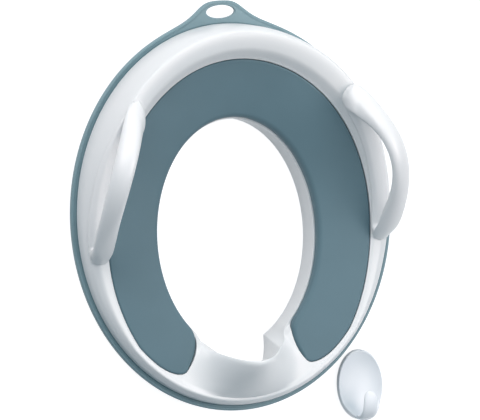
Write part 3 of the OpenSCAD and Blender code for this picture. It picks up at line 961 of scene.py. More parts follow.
@dataclass
class SeatShell:
    """The white moulded shell: skirt, lip, guard, recess for the cushion, raised rim and hollow underside.

    Attributes:
        form: Shared sizes and surfaces.
        step: Degrees between stations round the seat.
        stud_bore: Radius of the holes for the cushion's studs.
        post_bore: Radius of the holes for the handles' posts.
        boss_radius: Radius of the bosses round the posts.
        boss_depth: How far those bosses reach below the rim's top.
        screw_boss_radius: Radius of the bosses for the ring's screws.
        screw_boss_z: Height of the foot of those bosses.
    """

    form: SeatForm
    step: float = 0.75
    stud_bore: float = 3.3
    post_bore: float = 4.2
    boss_radius: float = 6.5
    boss_depth: float = 8.4
    screw_boss_radius: float = 4.5
    screw_boss_z: float = 21.0

    def windows(self, section: ShellSection) -> list[Window]:
        """The bores for the studs and the handles' posts.

        Args:
            section: The section whose blocks they are cut through.

        Returns:
            A window for each bore.
        """
        f, found = self.form, []
        studs = (Block.FLOOR, Block.UNDER_FLOOR, 2, f.floor, self.stud_bore, (0, 0.25, 0.75, 1))
        posts = (Block.RIM, Block.UNDER_RIM, 8, f.skin, self.post_bore, (0, 0.3, 0.7, 1))
        bores = [(t, f.stud_s, *studs) for t in f.stud_angles]
        bores += [(t, float(f.grip_s(np.array(float(t)))), *posts) for t in f.post_angles]
        for t, s, upper, lower, rows, surface, radius, depths in bores:
            high, low = section.first_rows[upper], section.first_rows[lower]
            found.append(Window(
                ring=f.bore(t, s, radius, surface, section.drop),
                depths=depths,
                centre=tuple(f.spot(s, t)),
                upper=(high, high + rows),
                lower=(low, low + rows),
                cols=f.columns_round(section.t, t, s, section.block),
            ))
        return found

    def add_bosses(self, parts: MeshParts) -> None:
        """Add turned bosses round the posts' bores, and blind ones for the ring's screws.

        Args:
            parts: The shell's parts so far.
        """
        f, bore, r = self.form, self.post_bore, self.boss_radius
        for t in map(float, f.post_angles):
            place = f.grip_s(np.array(t))
            crest = float(f.skin(place, np.array(t)))
            low, high = crest - self.boss_depth, crest - 2.0
            profile = [(bore, low), (r, low), (r, high), (bore, high)]
            parts.add_turned(f.plan(place, np.array(t)), profile, True)
        r = self.screw_boss_radius
        for t in map(float, f.ring_screw_angles):
            low, high = self.screw_boss_z, float(f.floor(np.array(f.ring_screw_s), np.array(t))) - 1.6
            hole = low + 5.5
            profile = [(0, hole), (SCREW_RADIUS, hole), (SCREW_RADIUS, low), (r, low), (r, high), (0, high)]
            parts.add_turned(f.spot(f.ring_screw_s, t), profile, False)

    def build(self) -> bpy.types.Object:
        """Make the shell: its section swept round the seat, with bores and bosses.

        Returns:
            The shell.
        """
        parts, section = MeshParts(), ShellSection(self.form, self.form.stations(self.step))
        parts.add(*punched(section.grid(), self.windows(section)))
        self.add_bosses(parts)
        return parts.build("seat_shell_dressed")


@dataclass
class Cushion:
    """The soft pad: an open band that fills the recess, crowned a little, with rounded edges and tips.

    Attributes:
        form: Shared sizes and surfaces.
        step: Degrees between stations round the pad.
        gap: Space between the pad and the recess.
        crown: Extra height along the pad's middle.
        inner_round: Edge radius beside the opening.
        outer_round: Edge radius beside the rim.
        dimple: Depth of the soft dimple over each stud.
        dimple_width: Width of the dimples.
        least: Least thickness, at the rounded edges.
    """

    form: SeatForm
    step: float = 0.75
    gap: float = 0.15
    crown: float = 0.7
    inner_round: float = 4.2
    outer_round: float = 1.7
    dimple: float = 0.28
    dimple_width: float = 9.0
    least: float = 1.5

    def edge_distance(self, flat: Array) -> Array:
        """Shortest distance from each plan point to the pad's contour, a block of columns at a time.

        The distance to a piece of the contour is that to the nearest point on it, whose share along the piece
        is held between 0 and 1.

        Args:
            flat: Plan points, (rows, stations, 2), of which the first and last rows lie on the contour.

        Returns:
            Distances, (rows, stations).
        """
        contour = np.concatenate([flat[0], flat[-1, ::-1], flat[:1, 0]])
        contour = resample(contour, 900)
        start, along = contour[:-1], np.diff(contour, axis=0)
        size, out, block = (along**2).sum(-1), np.empty(flat.shape[:2]), 24
        for i in range(0, flat.shape[1], block):
            gap = flat[:, i : i + block, None] - start
            share = np.clip((gap * along).sum(-1) / size, 0, 1)
            out[:, i : i + block] = np.linalg.norm(gap - share[..., None] * along, axis=-1).min(axis=-1)
        out[[0, -1]] = 0
        return out

    def lines(self) -> tuple[Array, Array, Array]:
        """Stations of the pad and its two edges: the recess's, moved in by the gap, which meet at the tips.

        Returns:
            Angles, inner edge and outer edge along s, each (stations,).
        """
        f = self.form
        t = f.stations(self.step)
        t = t[(f.elevation(t) > f.pad_tip_angle + 0.004) & (t < 270)]
        t = np.concatenate([[t[0] - 0.25 * (t[1] - t[0])], t, [t[-1] + 0.25 * (t[-1] - t[-2])]])
        d = f.span(t)
        inner, outer = f.pad_inner_s(t) + self.gap / d, f.pad_outer_s(t) - self.gap / d
        middle = (inner + outer) / 2
        return t, np.minimum(inner, middle), np.maximum(outer, middle)

    def heights(self, s: Array, t: Array, u: Array, flat: Array) -> tuple[Array, Array]:
        """Upper and lower surface: the recess floor plus thickness and crown, less edge rounds and dimples.

        An edge's round falls as r - sqrt(r^2 - (r - distance)^2), and a dimple as exp(-(distance / width)^2).

        Args:
            s: Places along the section, (rows, stations).
            t: Angles of the stations.
            u: Shares from the inner edge to the outer one, (rows, 1).
            flat: Plan points, (rows, stations, 2).

        Returns:
            Both heights, (rows, stations).
        """
        f = self.form
        away = self.edge_distance(flat)
        r = mix(self.inner_round, self.outer_round, smooth((u - 0.25) / 0.5)) + 0 * away
        x = np.clip(1 - away / r, 0, 1)
        fall = r * (1 - np.sqrt(1 - x * x))
        width = (s[-1] - s[0]) * f.span(t)
        crown = self.crown * (1 - (2 * u - 1) ** 2) * smooth(width / 40)
        studs = (((flat - f.spot(f.stud_s, angle)) ** 2).sum(-1) for angle in f.stud_angles)
        dimple = self.dimple * sum(np.exp(-square / self.dimple_width**2) for square in studs)
        bed = f.floor(s, t[None])
        low = bed + self.gap
        return np.maximum(bed + f.pad_thickness + crown - fall - dimple, low + self.least), low

    def build(self) -> bpy.types.Object:
        """Make the pad from an upper sheet, a lower sheet and an upright edge.

        The rows make a closed loop. At either end of the pad, each upper row is joined to the row that lies
        as far from the loop's end.

        Returns:
            The pad.
        """
        parts = MeshParts()
        t, inner, outer = self.lines()
        u = np.linspace(0, 1, 46)[:, None]
        u = mix(u, (1 - np.cos(np.pi * u)) / 2, 0.9)
        s = mix(inner, outer, u)
        flat = self.form.plan(s, t[None])
        high, low = self.heights(s, t, u, flat)
        top, under = (np.concatenate([flat, z[..., None]], axis=-1) for z in (high, low))
        grid = np.concatenate([top, under[::-1], *(mix(top[:1], under[:1], share) for share in (0.7, 0.35))])
        parts.add_grid(grid, True, False)
        rows, cols = grid.shape[:2]
        row = np.arange(len(u))
        for column in (0, cols - 1):
            upper, lower = row * cols + column, (rows - 1 - row) * cols + column
            parts.faces.append(np.stack([upper[:-1], upper[1:], lower[1:], lower[:-1]], axis=1))
        return parts.build("cushion_pad_dressed", 50)


@dataclass
class BaseRing:
    """The grey non-slip ring under the shell: beaded edge, flat ledge, hanging tab, plate and screw holes.

    Attributes:
        form: Shared sizes and surfaces.
        step: Degrees between stations round the ring.
        overhang: How far the ring's edge stands out from the shell.
        tab_reach: How far the tab reaches past the ring's edge.
        tab_half_width: Half width of the tab.
        band: Width of the raised band inside the shell's edge.
        low: Height of the underside.
        plate_top: Height of the inner plate.
        ledge: Height of the flat ledge behind the bead.
        top: Height of the bead and of the raised band.
        loop_half_width: Half width of the hanging loop's hole.
        loop_half_height: Half its length.
        loop_y: Place of its middle along the seat.
        block: Half width of the blocks round the screw holes.
        play: Space between the ring and the shell's inner wall.
    """

    form: SeatForm
    step: float = 0.75
    overhang: float = 5.0
    tab_reach: float = 15.5
    tab_half_width: float = 24.0
    band: float = 14.0
    low: float = 18.0
    plate_top: float = 21.0
    ledge: float = 23.3
    top: float = 24.0
    loop_half_width: float = 13.7
    loop_half_height: float = 5.8
    loop_y: float = 180.7
    block: float = 5.4
    play: float = 0.4

    def edge(self, t: Array) -> Array:
        """The ring's outer edge: an oval plus the tab, whose reach falls as 1 / (1 + (x / half width)^4).

        Args:
            t: Angles of the stations.

        Returns:
            Plan points, (stations, 2).
        """
        line = self.oval(-self.overhang, t)
        reach = self.tab_reach / (1 + (line[:, 0] / self.tab_half_width) ** 4)
        tab = np.where(np.sin(np.radians(t)) > 0, reach, 0)
        return line + np.stack([0 * tab, tab], axis=1)

    def oval(self, inset: float, t: Array) -> Array:
        """The shell's outer oval moved inwards, (stations, 2)."""
        return self.form.oval(t, self.form.rim_half_width - inset, self.form.rim_half_length - inset, 0)

    def inset(self, line: Array, distance: float) -> Array:
        """A closed line moved inwards along its normals.

        Args:
            line: Plan points, (stations, 2).
            distance: How far it moves.

        Returns:
            The moved points.
        """
        along = np.roll(line, -1, axis=0) - np.roll(line, 1, axis=0)
        normal = np.stack([-along[:, 1], along[:, 0]], axis=1)
        return line + normal / np.linalg.norm(normal, axis=1, keepdims=True) * distance

    def loop_ring(self, angle: Array, depth: float) -> Array:
        """The loop's edge at a depth: an oval that widens over the last tenth at the top and bottom.

        Args:
            angle: Angles round the loop.
            depth: Depth from 0 at the top to 1 at the bottom.

        Returns:
            Points, (n, 3).
        """
        edge_round = 0.35
        flare = edge_round * max(0.0, abs(2 * depth - 1) - 0.8) / 0.2
        a, b = self.loop_half_width + flare, self.loop_half_height + flare
        z = mix(self.ledge, self.low, depth)
        return np.stack([a * np.cos(angle), self.loop_y + b * np.sin(angle), z + 0 * angle], axis=1)

    def sink_ring(self, t: float) -> RingMaker:
        """Ring maker of a countersunk screw hole: straight at the top, a cone at the bottom.

        Args:
            t: Angle of the hole round the seat.

        Returns:
            A function of the angles round the hole and the depth from 0 to 1 that gives the ring's points.
        """
        centre, radius, cone = self.form.spot(self.form.ring_screw_s, t), 1.9, 1.97

        def ring(turn: Array, depth: float) -> Array:
            """Circle at a depth, wider inside the cone.

            Args:
                turn: Angles round the hole.
                depth: Depth from 0 at the plate's top to 1 at the ring's underside.

            Returns:
                Points, (n, 3).
            """
            z = float(mix(self.plate_top, self.low, depth))
            r = radius + max(0.0, cone - (z - self.low))
            x, y = centre[0] + r * np.cos(turn), centre[1] + r * np.sin(turn)
            return np.stack([x, y, z + 0 * turn], axis=1)

        return ring

    def build(self) -> bpy.types.Object:
        """Make the ring from one closed band of rows, with the loop and the screw holes cut through it.

        Returns:
            The ring.
        """
        f, parts, rows = self.form, MeshParts(), []
        t = f.stations(self.step)
        edge, d, low, top = self.edge(t), f.span(t), self.low, self.top
        bead = (
            (1.0, low), (0.3, low + 0.3), (0.0, 19.0), (0.0, 20.8), (0.0, 22.6),
            (0.25, 23.4), (0.8, 23.85), (1.5, top), (2.3, 23.85), (2.9, 23.45),
        )
        rows += [(self.inset(edge, inset), z) for inset, z in bead]
        ledge_top = len(rows)
        ledge = [mix(self.inset(edge, 3.4), self.oval(-0.9, t), u) for u in np.linspace(0, 1, 7)]
        rows += [(line, self.ledge) for line in ledge]
        band = (
            (-0.55, 22.9), (0.1, 22.9), (0.25, top), (self.band - 0.4, top),
            (self.band, 23.6), (self.band, 21.3), (self.band + 0.3, self.plate_top),
        )
        rows += [(self.oval(inset, t), z) for inset, z in band]

        screw_s, e, outer_inset = f.ring_screw_s + 0 * t, self.block / d, self.band + 1.4
        outer_s = f.crossing(t, f.rim_half_width - outer_inset, f.rim_half_length - outer_inset, 0)
        inner_s = np.maximum(f.wall_s(t, HOLLOW_LAG), 0.7 * f.flare_s(t)) + (f.wall + self.play) / d
        places = [mix(outer_s, screw_s + e, u) for u in (0.0, 0.5)] + [screw_s + e, screw_s, screw_s - e]
        places += [mix(screw_s - e, inner_s + 0.4 / d, u) for u in (0.35, 0.7, 1.0)]
        plate = [f.plan(s, t) for s in places]
        screws_top = len(rows) + 2
        rows += [(line, self.plate_top) for line in plate]
        rows += [(f.plan(inner_s, t), z) for z in (self.plate_top - 0.4, low + 0.4)]
        screws_under = len(rows) + len(plate) - 5
        rows += [(line, low) for line in plate[::-1]]
        rows += [(self.oval(self.band * u, t), low) for u in (0.66, 0.33, 0.0)]
        ledge_under = len(rows)
        rows += [(line, low) for line in ledge[::-1]]
        grid = np.stack([np.concatenate([line, np.full((len(t), 1), z)], axis=1) for line, z in rows])

        tab_turn = 7.5
        windows = [Window(
            ring=self.loop_ring,
            depths=(0, 0.04, 0.1, 0.3, 0.5, 0.7, 0.9, 0.96, 1),
            centre=(0.0, self.loop_y),
            upper=(ledge_top, ledge_top + 6),
            lower=(ledge_under, ledge_under + 6),
            cols=(int(np.abs(t - (90 - tab_turn)).argmin()), int(np.abs(t - (90 + tab_turn)).argmin())),
        )]
        windows += [Window(
            ring=self.sink_ring(angle),
            depths=(0, 0.344, 0.6, 1),
            centre=tuple(f.spot(f.ring_screw_s, angle)),
            upper=(screws_top, screws_top + 2),
            lower=(screws_under, screws_under + 2),
            cols=f.columns_round(t, angle, f.ring_screw_s, self.block),
        ) for angle in f.ring_screw_angles]
        parts.add(*punched(grid, windows))
        return parts.build("base_ring_dressed")


@dataclass
class Handle:
    """A grab handle: an arch and a foot in one piece, with two posts that go down into the shell.

    The handle is drawn in a plane of (run, height), run being the length along the rim from the low end and
    height being measured from the rim. One loop is the handle's outline, a second one is its window, and the
    sections between them are rounded oblongs that lean outwards with the arch and follow the rim at the foot.

    Attributes:
        form: Shared sizes and surfaces.
        low_angle: Angle of the foot's front end.
        top_angle: Angle of the foot's back end.
        arch_low: Angle where the arch's centre line starts.
        arch_top: Angle where the arch's centre line ends.
        rise: Height of that line above the rim.
        rise_powers: Powers of the line's sine at its low end and at its top end.
        bulge: How far the arch's middle stands out to the side.
        tilts: Degrees by which the sections lean outwards at the low end and at the top end.
        widths: Width of the grip at those ends.
        grip_thickness: Thickness of the arch in its own plane.
        foot_width: Width of the foot.
        shift: How far the handle lies outside the handles' line, or inside it if less than 0.
        low_radius: Length of the rounding in plan at the low end.
        top_radius: Length of that rounding at the top end.
        end_power: Power of both roundings.
        foot_power: Power of the sections' rounding at the foot.
        arch_power: Power of that rounding along the arch.
        foot_top: Height of the foot's upper side.
        foot_follows: Height up to which the handle fully follows the rim.
        follow_fade: Height over which it stops following it.
        gap: Space between the foot and the rim.
        window_low: Length from the low end to the foot of the window's slope.
        window_top: Length from the top end to the foot of that slope.
        outer_ends: Shares of the arch's outer line at which the outline joins and leaves it.
        inner_ends: The same for its inner line and the window.
        steps: Pieces of the arch's lines.
        low_count: Stations round the low end.
        top_count: Stations round the top end, and along the foot.
        arch_count: Stations along the arch.
        count: Points round each section.
        post_radius: Radius of the posts.
        post_length: How far the posts reach down from the rim.
        angles: Angles along the handles' line.
        runs: Length run from the foot's front end to each of them.
        length: Length of the foot.
    """

    form: SeatForm
    low_angle: float = -11.0
    top_angle: float = 44.0
    arch_low: float = -9.2
    arch_top: float = 42.2
    rise: float = 46.0
    rise_powers: tuple[float, float] = (0.8, 1.1)
    bulge: float = 3.0
    tilts: tuple[float, float] = (24.0, 36.0)
    widths: tuple[float, float] = (17.5, 21.0)
    grip_thickness: float = 12.5
    foot_width: float = 17.5
    shift: float = -2.7
    low_radius: float = 9.0
    top_radius: float = 10.5
    end_power: float = 2.7
    foot_power: float = 0.36
    arch_power: float = 0.9
    foot_top: float = 3.3
    foot_follows: float = 3.4
    follow_fade: float = 12.0
    gap: float = 0.35
    window_low: float = 19.5
    window_top: float = 15.5
    outer_ends: tuple[float, float] = (0.075, 0.9)
    inner_ends: tuple[float, float] = (0.2, 0.82)
    steps: int = 240
    low_count: int = 44
    top_count: int = 52
    arch_count: int = 90
    count: int = 56
    post_radius: float = 4.0
    post_length: float = 8.0
    angles: Array = field(init=False)
    runs: Array = field(init=False)
    length: float = field(init=False)

    def __post_init__(self) -> None:
        """Measure the line that the handles stand on."""
        f, past = self.form, 6
        self.angles = np.linspace(self.low_angle - past, self.top_angle + past, 400)
        line = f.plan(f.grip_s(self.angles), self.angles)
        run = np.concatenate([[0], np.cumsum(np.linalg.norm(np.diff(line, axis=0), axis=1))])
        self.runs = run - np.interp(self.low_angle, self.angles, run)
        self.length = float(np.interp(self.top_angle, self.angles, self.runs))

    def arch_lines(self) -> tuple[Array, Array]:
        """The arch's outer and inner lines: its centre line moved by half its thickness to either side.

        The centre line's height is rise * sin(pi v)^p, with v from 0 to 1 along it.

        Returns:
            Both lines as (run, height), (steps + 1, 2).
        """
        v = np.linspace(0.0, 1.0, self.steps + 1)
        run = np.interp(mix(self.arch_low, self.arch_top, v), self.angles, self.runs)
        height = self.rise * np.sin(np.pi * v) ** mix(*self.rise_powers, v)
        centre = np.stack([run, height], axis=1)
        along = np.gradient(centre, axis=0)
        normal = np.stack([-along[:, 1], along[:, 0]], axis=1)
        normal /= np.linalg.norm(normal, axis=1, keepdims=True)
        half = self.grip_thickness / 2
        return centre + normal * half, centre - normal * half

    def joint(self, line: Array, share: float) -> tuple[Array, Array]:
        """Point of one of the arch's lines and the line's direction there.

        Args:
            line: The line, (steps + 1, 2).
            share: How far along it, from 0 to 1.

        Returns:
            The point and the unit vector, each (2,).
        """
        at = int(share * self.steps)
        along = line[at + 2] - line[at - 2]
        return line[at], along / np.linalg.norm(along)

    def low_lines(self, outer: Array, inner: Array) -> tuple[Array, Array]:
        """Outline and window from the foot round the low end to the arch.

        Args:
            outer: The arch's outer line.
            inner: The arch's inner line.

        Returns:
            Both as (run, height), (low_count, 2).
        """
        low, top, start = self.gap, self.foot_top, self.window_low
        joint, heading = self.joint(outer, self.outer_ends[0])
        toe = bezier((1.2, low), (0.1, low), (-0.15, 0.7), (0.1, 1.5), 10)
        ramp = bezier(toe[-1], toe[-1] + (0.5, 1.9), joint - heading * 3.2, joint)
        outline = np.concatenate([[(start, low)], toe, ramp[1:]])

        joint, heading = self.joint(inner, self.inner_ends[0])
        turn = np.array([13.4, 8.0])
        window = np.concatenate([
            bezier((start, top), (start - 4.0, top), turn + (0.0, -3.0), turn),
            bezier(turn, turn + (0.0, 5.0), joint - heading * 8.0, joint)[1:],
        ])
        return resample(outline, self.low_count), resample(window, self.low_count)

    def top_lines(self, outer: Array, inner: Array) -> tuple[Array, Array]:
        """Outline and window from the arch round the top end to the foot.

        Args:
            outer: The arch's outer line.
            inner: The arch's inner line.

        Returns:
            Both as (run, height), (top_count, 2).
        """
        low, top, length, stop = self.gap, self.foot_top, self.length, self.length - self.window_top
        joint, heading = self.joint(outer, self.outer_ends[1])
        end = np.array([length, 4.4])
        outline = np.concatenate([
            bezier(joint, joint + heading * 7.0, end + (0.0, 4.6), end),
            bezier(end, end + (0.0, -2.6), (length - 0.1, low), (length - 1.6, low), 12)[1:],
            [(length - 25.0, low)],
        ])

        joint, heading = self.joint(inner, self.inner_ends[1])
        turn = np.array([length - 11.0, 6.0])
        window = np.concatenate([
            bezier(joint, joint + heading * 7.5, turn + (0.0, 1.9), turn),
            bezier(turn, turn + (0.0, -1.6), (stop + 2.2, top), (stop, top))[1:],
        ])
        return resample(outline, self.top_count), resample(window, self.top_count)

    def loops(self) -> tuple[Array, Array]:
        """The outline and the window as matching points: low end, arch, top end and back along the foot.

        Returns:
            Both loops as (run, height), (stations, 2).
        """
        lines, joints = self.arch_lines(), (self.outer_ends, self.inner_ends)
        back = np.linspace(self.length - self.window_top, self.window_low, self.top_count)[1:-1]
        loops, low_ends, top_ends = [], self.low_lines(*lines), self.top_lines(*lines)
        heights = (self.gap, self.foot_top)
        for line, shares, low_end, top_end, height in zip(lines, joints, low_ends, top_ends, heights):
            first, last = (int(share * self.steps) for share in shares)
            arch = resample(line[first : last + 1], self.arch_count)
            foot = np.stack([back, np.full_like(back, height)], axis=1)
            loops.append(np.concatenate([low_end, arch[1:-1], top_end, foot]))
        return loops[0], loops[1]

    def surface(self) -> Array:
        """Points of the handle on the right side.

        A section lies across the line between a station's two points. It is |x|^(2/p) + |y|^(2/p) = 1 with
        the power p, stretched to its width and thickness and turned by its tilt.

        Returns:
            Points, (stations, count, 3).
        """
        f, length = self.form, self.length
        outer, inner = self.loops()
        centre, half = (outer + inner) / 2, (outer - inner) / 2
        thick = np.linalg.norm(half, axis=1, keepdims=True)
        toward = half / thick

        lift = smooth((centre[:, 1:] - 2.0) / 9.0)
        arch = np.clip((centre[:, :1] - 1.0) / (length - 2.0), 0, 1)
        width = mix(self.foot_width, mix(*self.widths, smooth(arch)), lift) / 2
        turn = np.linspace(0, 2 * np.pi, self.count, endpoint=False)[None]
        power = mix(self.foot_power, self.arch_power, lift)
        sin, cos = signed_power(np.sin(turn), power), signed_power(np.cos(turn), power)
        radial = sin * thick
        place = centre[:, :1] + radial * toward[:, :1]
        low_end = quarter(1 - place / self.low_radius, self.end_power)
        top_end = quarter(1 - (length - place) / self.top_radius, self.end_power)
        across = cos * width * np.maximum(low_end * top_end, 0.02)

        tilt = np.radians(mix(*self.tilts, arch) * lift)
        side = across * np.cos(tilt) + radial * np.sin(tilt)
        push = radial * np.cos(tilt) - across * np.sin(tilt)
        run = centre[:, :1] + push * toward[:, :1]
        high = centre[:, 1:] + push * toward[:, 1:]

        t = np.interp(run, self.runs, self.angles)
        d, base = f.span(t), f.grip_s(t)
        s = np.minimum(base + (self.shift + self.bulge * np.sin(np.pi * arch) * lift + side) / d, 1.03)
        on_rim, middle = f.skin(np.clip(s, 0, 0.995), t), f.skin(base, t)
        follow = 1 - smooth((high - self.foot_follows) / self.follow_fade)
        z = np.maximum(middle + high + follow * (on_rim - middle), on_rim + self.gap)
        past = np.maximum(0, s - f.crest_s(t)) * d
        return f.place(s + 0.12 * past / d * (high < self.foot_follows), t, z)

    def build(self, side: Side) -> bpy.types.Object:
        """Make the handle of one side.

        Args:
            side: The side it stands on. The left handle is the right one mirrored.

        Returns:
            The handle.
        """
        f, parts, r, bevel = self.form, MeshParts(), self.post_radius, 0.4
        parts.add_grid(self.surface(), True, True)
        for t in map(float, f.post_angles[:2]):
            place = f.grip_s(np.array(t))
            crest = float(f.skin(place, np.array(t)))
            low, high = crest - self.post_length, crest + 1.6
            hole = low + 7
            profile = [(0, hole), (SCREW_RADIUS, hole), (SCREW_RADIUS, low)]
            profile += [(r - bevel, low), (r, low + bevel), (r, high), (0, high)]
            parts.add_turned(f.plan(place, np.array(t)), profile, False)
        mirror = np.array([side.value, 1, 1])
        parts.points = [points * mirror for points in parts.points]
        return parts.build(f"{side.name.lower()}_handle_dressed", 42)


@dataclass
class WallHook:
    """The stick-on hook: an oval dish with a soft raised rim and a tongue that curls over it.

    Attributes:
        centre: Middle of the oval in plan.
        half_width: Half width of the oval.
        half_length: Half length of the oval.
        back: Height of the plate's back.
        plate: Thickness of the plate in the middle.
        rim: Height of the rim above the back.
        rim_radius: Radius of the rim's rounded edge.
        dish_edge: Share of the oval at which the dish meets the rim.
        dish_power: Power of the dish's rise to the rim.
        reach: Height of the tongue above the back.
        low_rise: Extra height of the rim at its low end, where the tongue grows out of it.
        tongue_width: Width of the tongue at its root.
        tip_share: Width at its tip, as a share of that.
        root_flare: Extra half width of the tongue where it leaves the rim.
        thickness: Thickness of the tongue.
        count: Points round the plate.
        stations: Sections along the tongue.
    """

    centre: tuple[float, float] = (118.4, -164.6)
    half_width: float = 21.5
    half_length: float = 31.8
    back: float = 2.0
    plate: float = 2.6
    rim: float = 6.0
    rim_radius: float = 1.3
    dish_edge: float = 0.92
    dish_power: float = 3.4
    reach: float = 29.5
    low_rise: float = 8.0
    tongue_width: float = 17.0
    tip_share: float = 0.66
    root_flare: float = 4.5
    thickness: float = 3.0
    count: int = 120
    stations: int = 96

    def dish_grid(self) -> Array:
        """The plate as rings of one shape: its back, its rounded rim and its dish.

        The dish rises as share^power from its middle to the rim, and the low end's extra height as
        smoothstep((-sin angle - 0.45) / 0.55).

        Returns:
            Points, (rings, count, 3).
        """
        turn = np.linspace(0, 0.72 * np.pi, 12)
        rim_r = 0.955 + 0.045 * np.cos(turn)
        rim_z = self.rim - self.rim_radius + self.rim_radius * np.sin(turn)
        back_r, back_z = [0.001, 0.5, 0.93, 0.965, 0.99, 1.0], [0, 0, 0, 0.1, 0.5, 1.3]
        inside = np.linspace(0.915, 0.001, 30)
        share = inside / self.dish_edge
        dish_z = self.plate + (self.rim - 0.42 - self.plate) * share**self.dish_power
        rise = np.concatenate([np.zeros(len(back_r)), np.ones(len(turn)), share**5])
        r, z = np.concatenate([back_r, rim_r, inside]), np.concatenate([back_z, rim_z, dish_z])
        a = np.linspace(0, 2 * np.pi, self.count, endpoint=False)
        low = self.low_rise * smooth((-np.sin(a) - 0.45) / 0.55)
        x = self.centre[0] + (r * self.half_width)[:, None] * np.cos(a)
        y = self.centre[1] + (r * self.half_length)[:, None] * np.sin(a)
        return np.stack([x, y, self.back + z[:, None] + rise[:, None] * low], axis=-1)

    def tongue_grid(self) -> Array:
        """The tongue: rounded sections along a curve that leaves the rim, rises and bends over the dish.

        Returns:
            Points, (stations, points round a section, 3).
        """
        h, reach = self.half_length, self.reach
        tip = (-0.12 * h, reach - self.thickness / 2)
        line = bezier((-0.74 * h, 1.0), (-1.1 * h, 0.62 * reach), (-0.8 * h, 1.02 * reach), tip, 400)
        line = resample(line, self.stations)
        along = np.gradient(line, axis=0)
        along /= np.linalg.norm(along, axis=1, keepdims=True)
        normal = np.stack([-along[:, 1], along[:, 0]], axis=1)

        v = np.linspace(0, 1, self.stations)[:, None]
        half = mix(self.tongue_width, self.tip_share * self.tongue_width, v) / 2
        half = half + self.root_flare * (1 - smooth(v / 0.5)) ** 2
        half = np.maximum(half * quarter(np.maximum(0, v - 0.84) / 0.1601, 2.2), 0.05)
        deep = self.thickness / 2 * quarter(np.maximum(0, v - 0.955) / 0.0451, 2.0)
        deep = np.maximum(deep + 1.4 * (1 - smooth(v / 0.16)) ** 2, 0.03)
        turn = np.linspace(0, 2 * np.pi, 48, endpoint=False)[None]
        across = half * signed_power(np.cos(turn), 0.5)
        dished = 0.9 * (across / self.tongue_width * 2) ** 2 * smooth(v / 0.3)
        out = deep * signed_power(np.sin(turn), 0.7) - dished
        x = self.centre[0] + across
        y = self.centre[1] + line[:, :1] + out * normal[:, :1]
        z = self.back + line[:, 1:] + out * normal[:, 1:]
        return np.stack([x, y, z], axis=-1)

    def build(self) -> bpy.types.Object:
        """Make the hook from its plate and its tongue, whose two ends are closed at their middles.

        Returns:
            The hook.
        """
        parts, tongue = MeshParts(), self.tongue_grid()
        root, tip = (end.mean(axis=1, keepdims=True) + 0 * end for end in (tongue[:1], tongue[-1:]))
        parts.add_grid(self.dish_grid(), False, True)
        parts.add_grid(np.concatenate([root, tongue, tip]), False, True)
        return parts.build("wall_hook_dressed", 50)


# -------------------- finishes


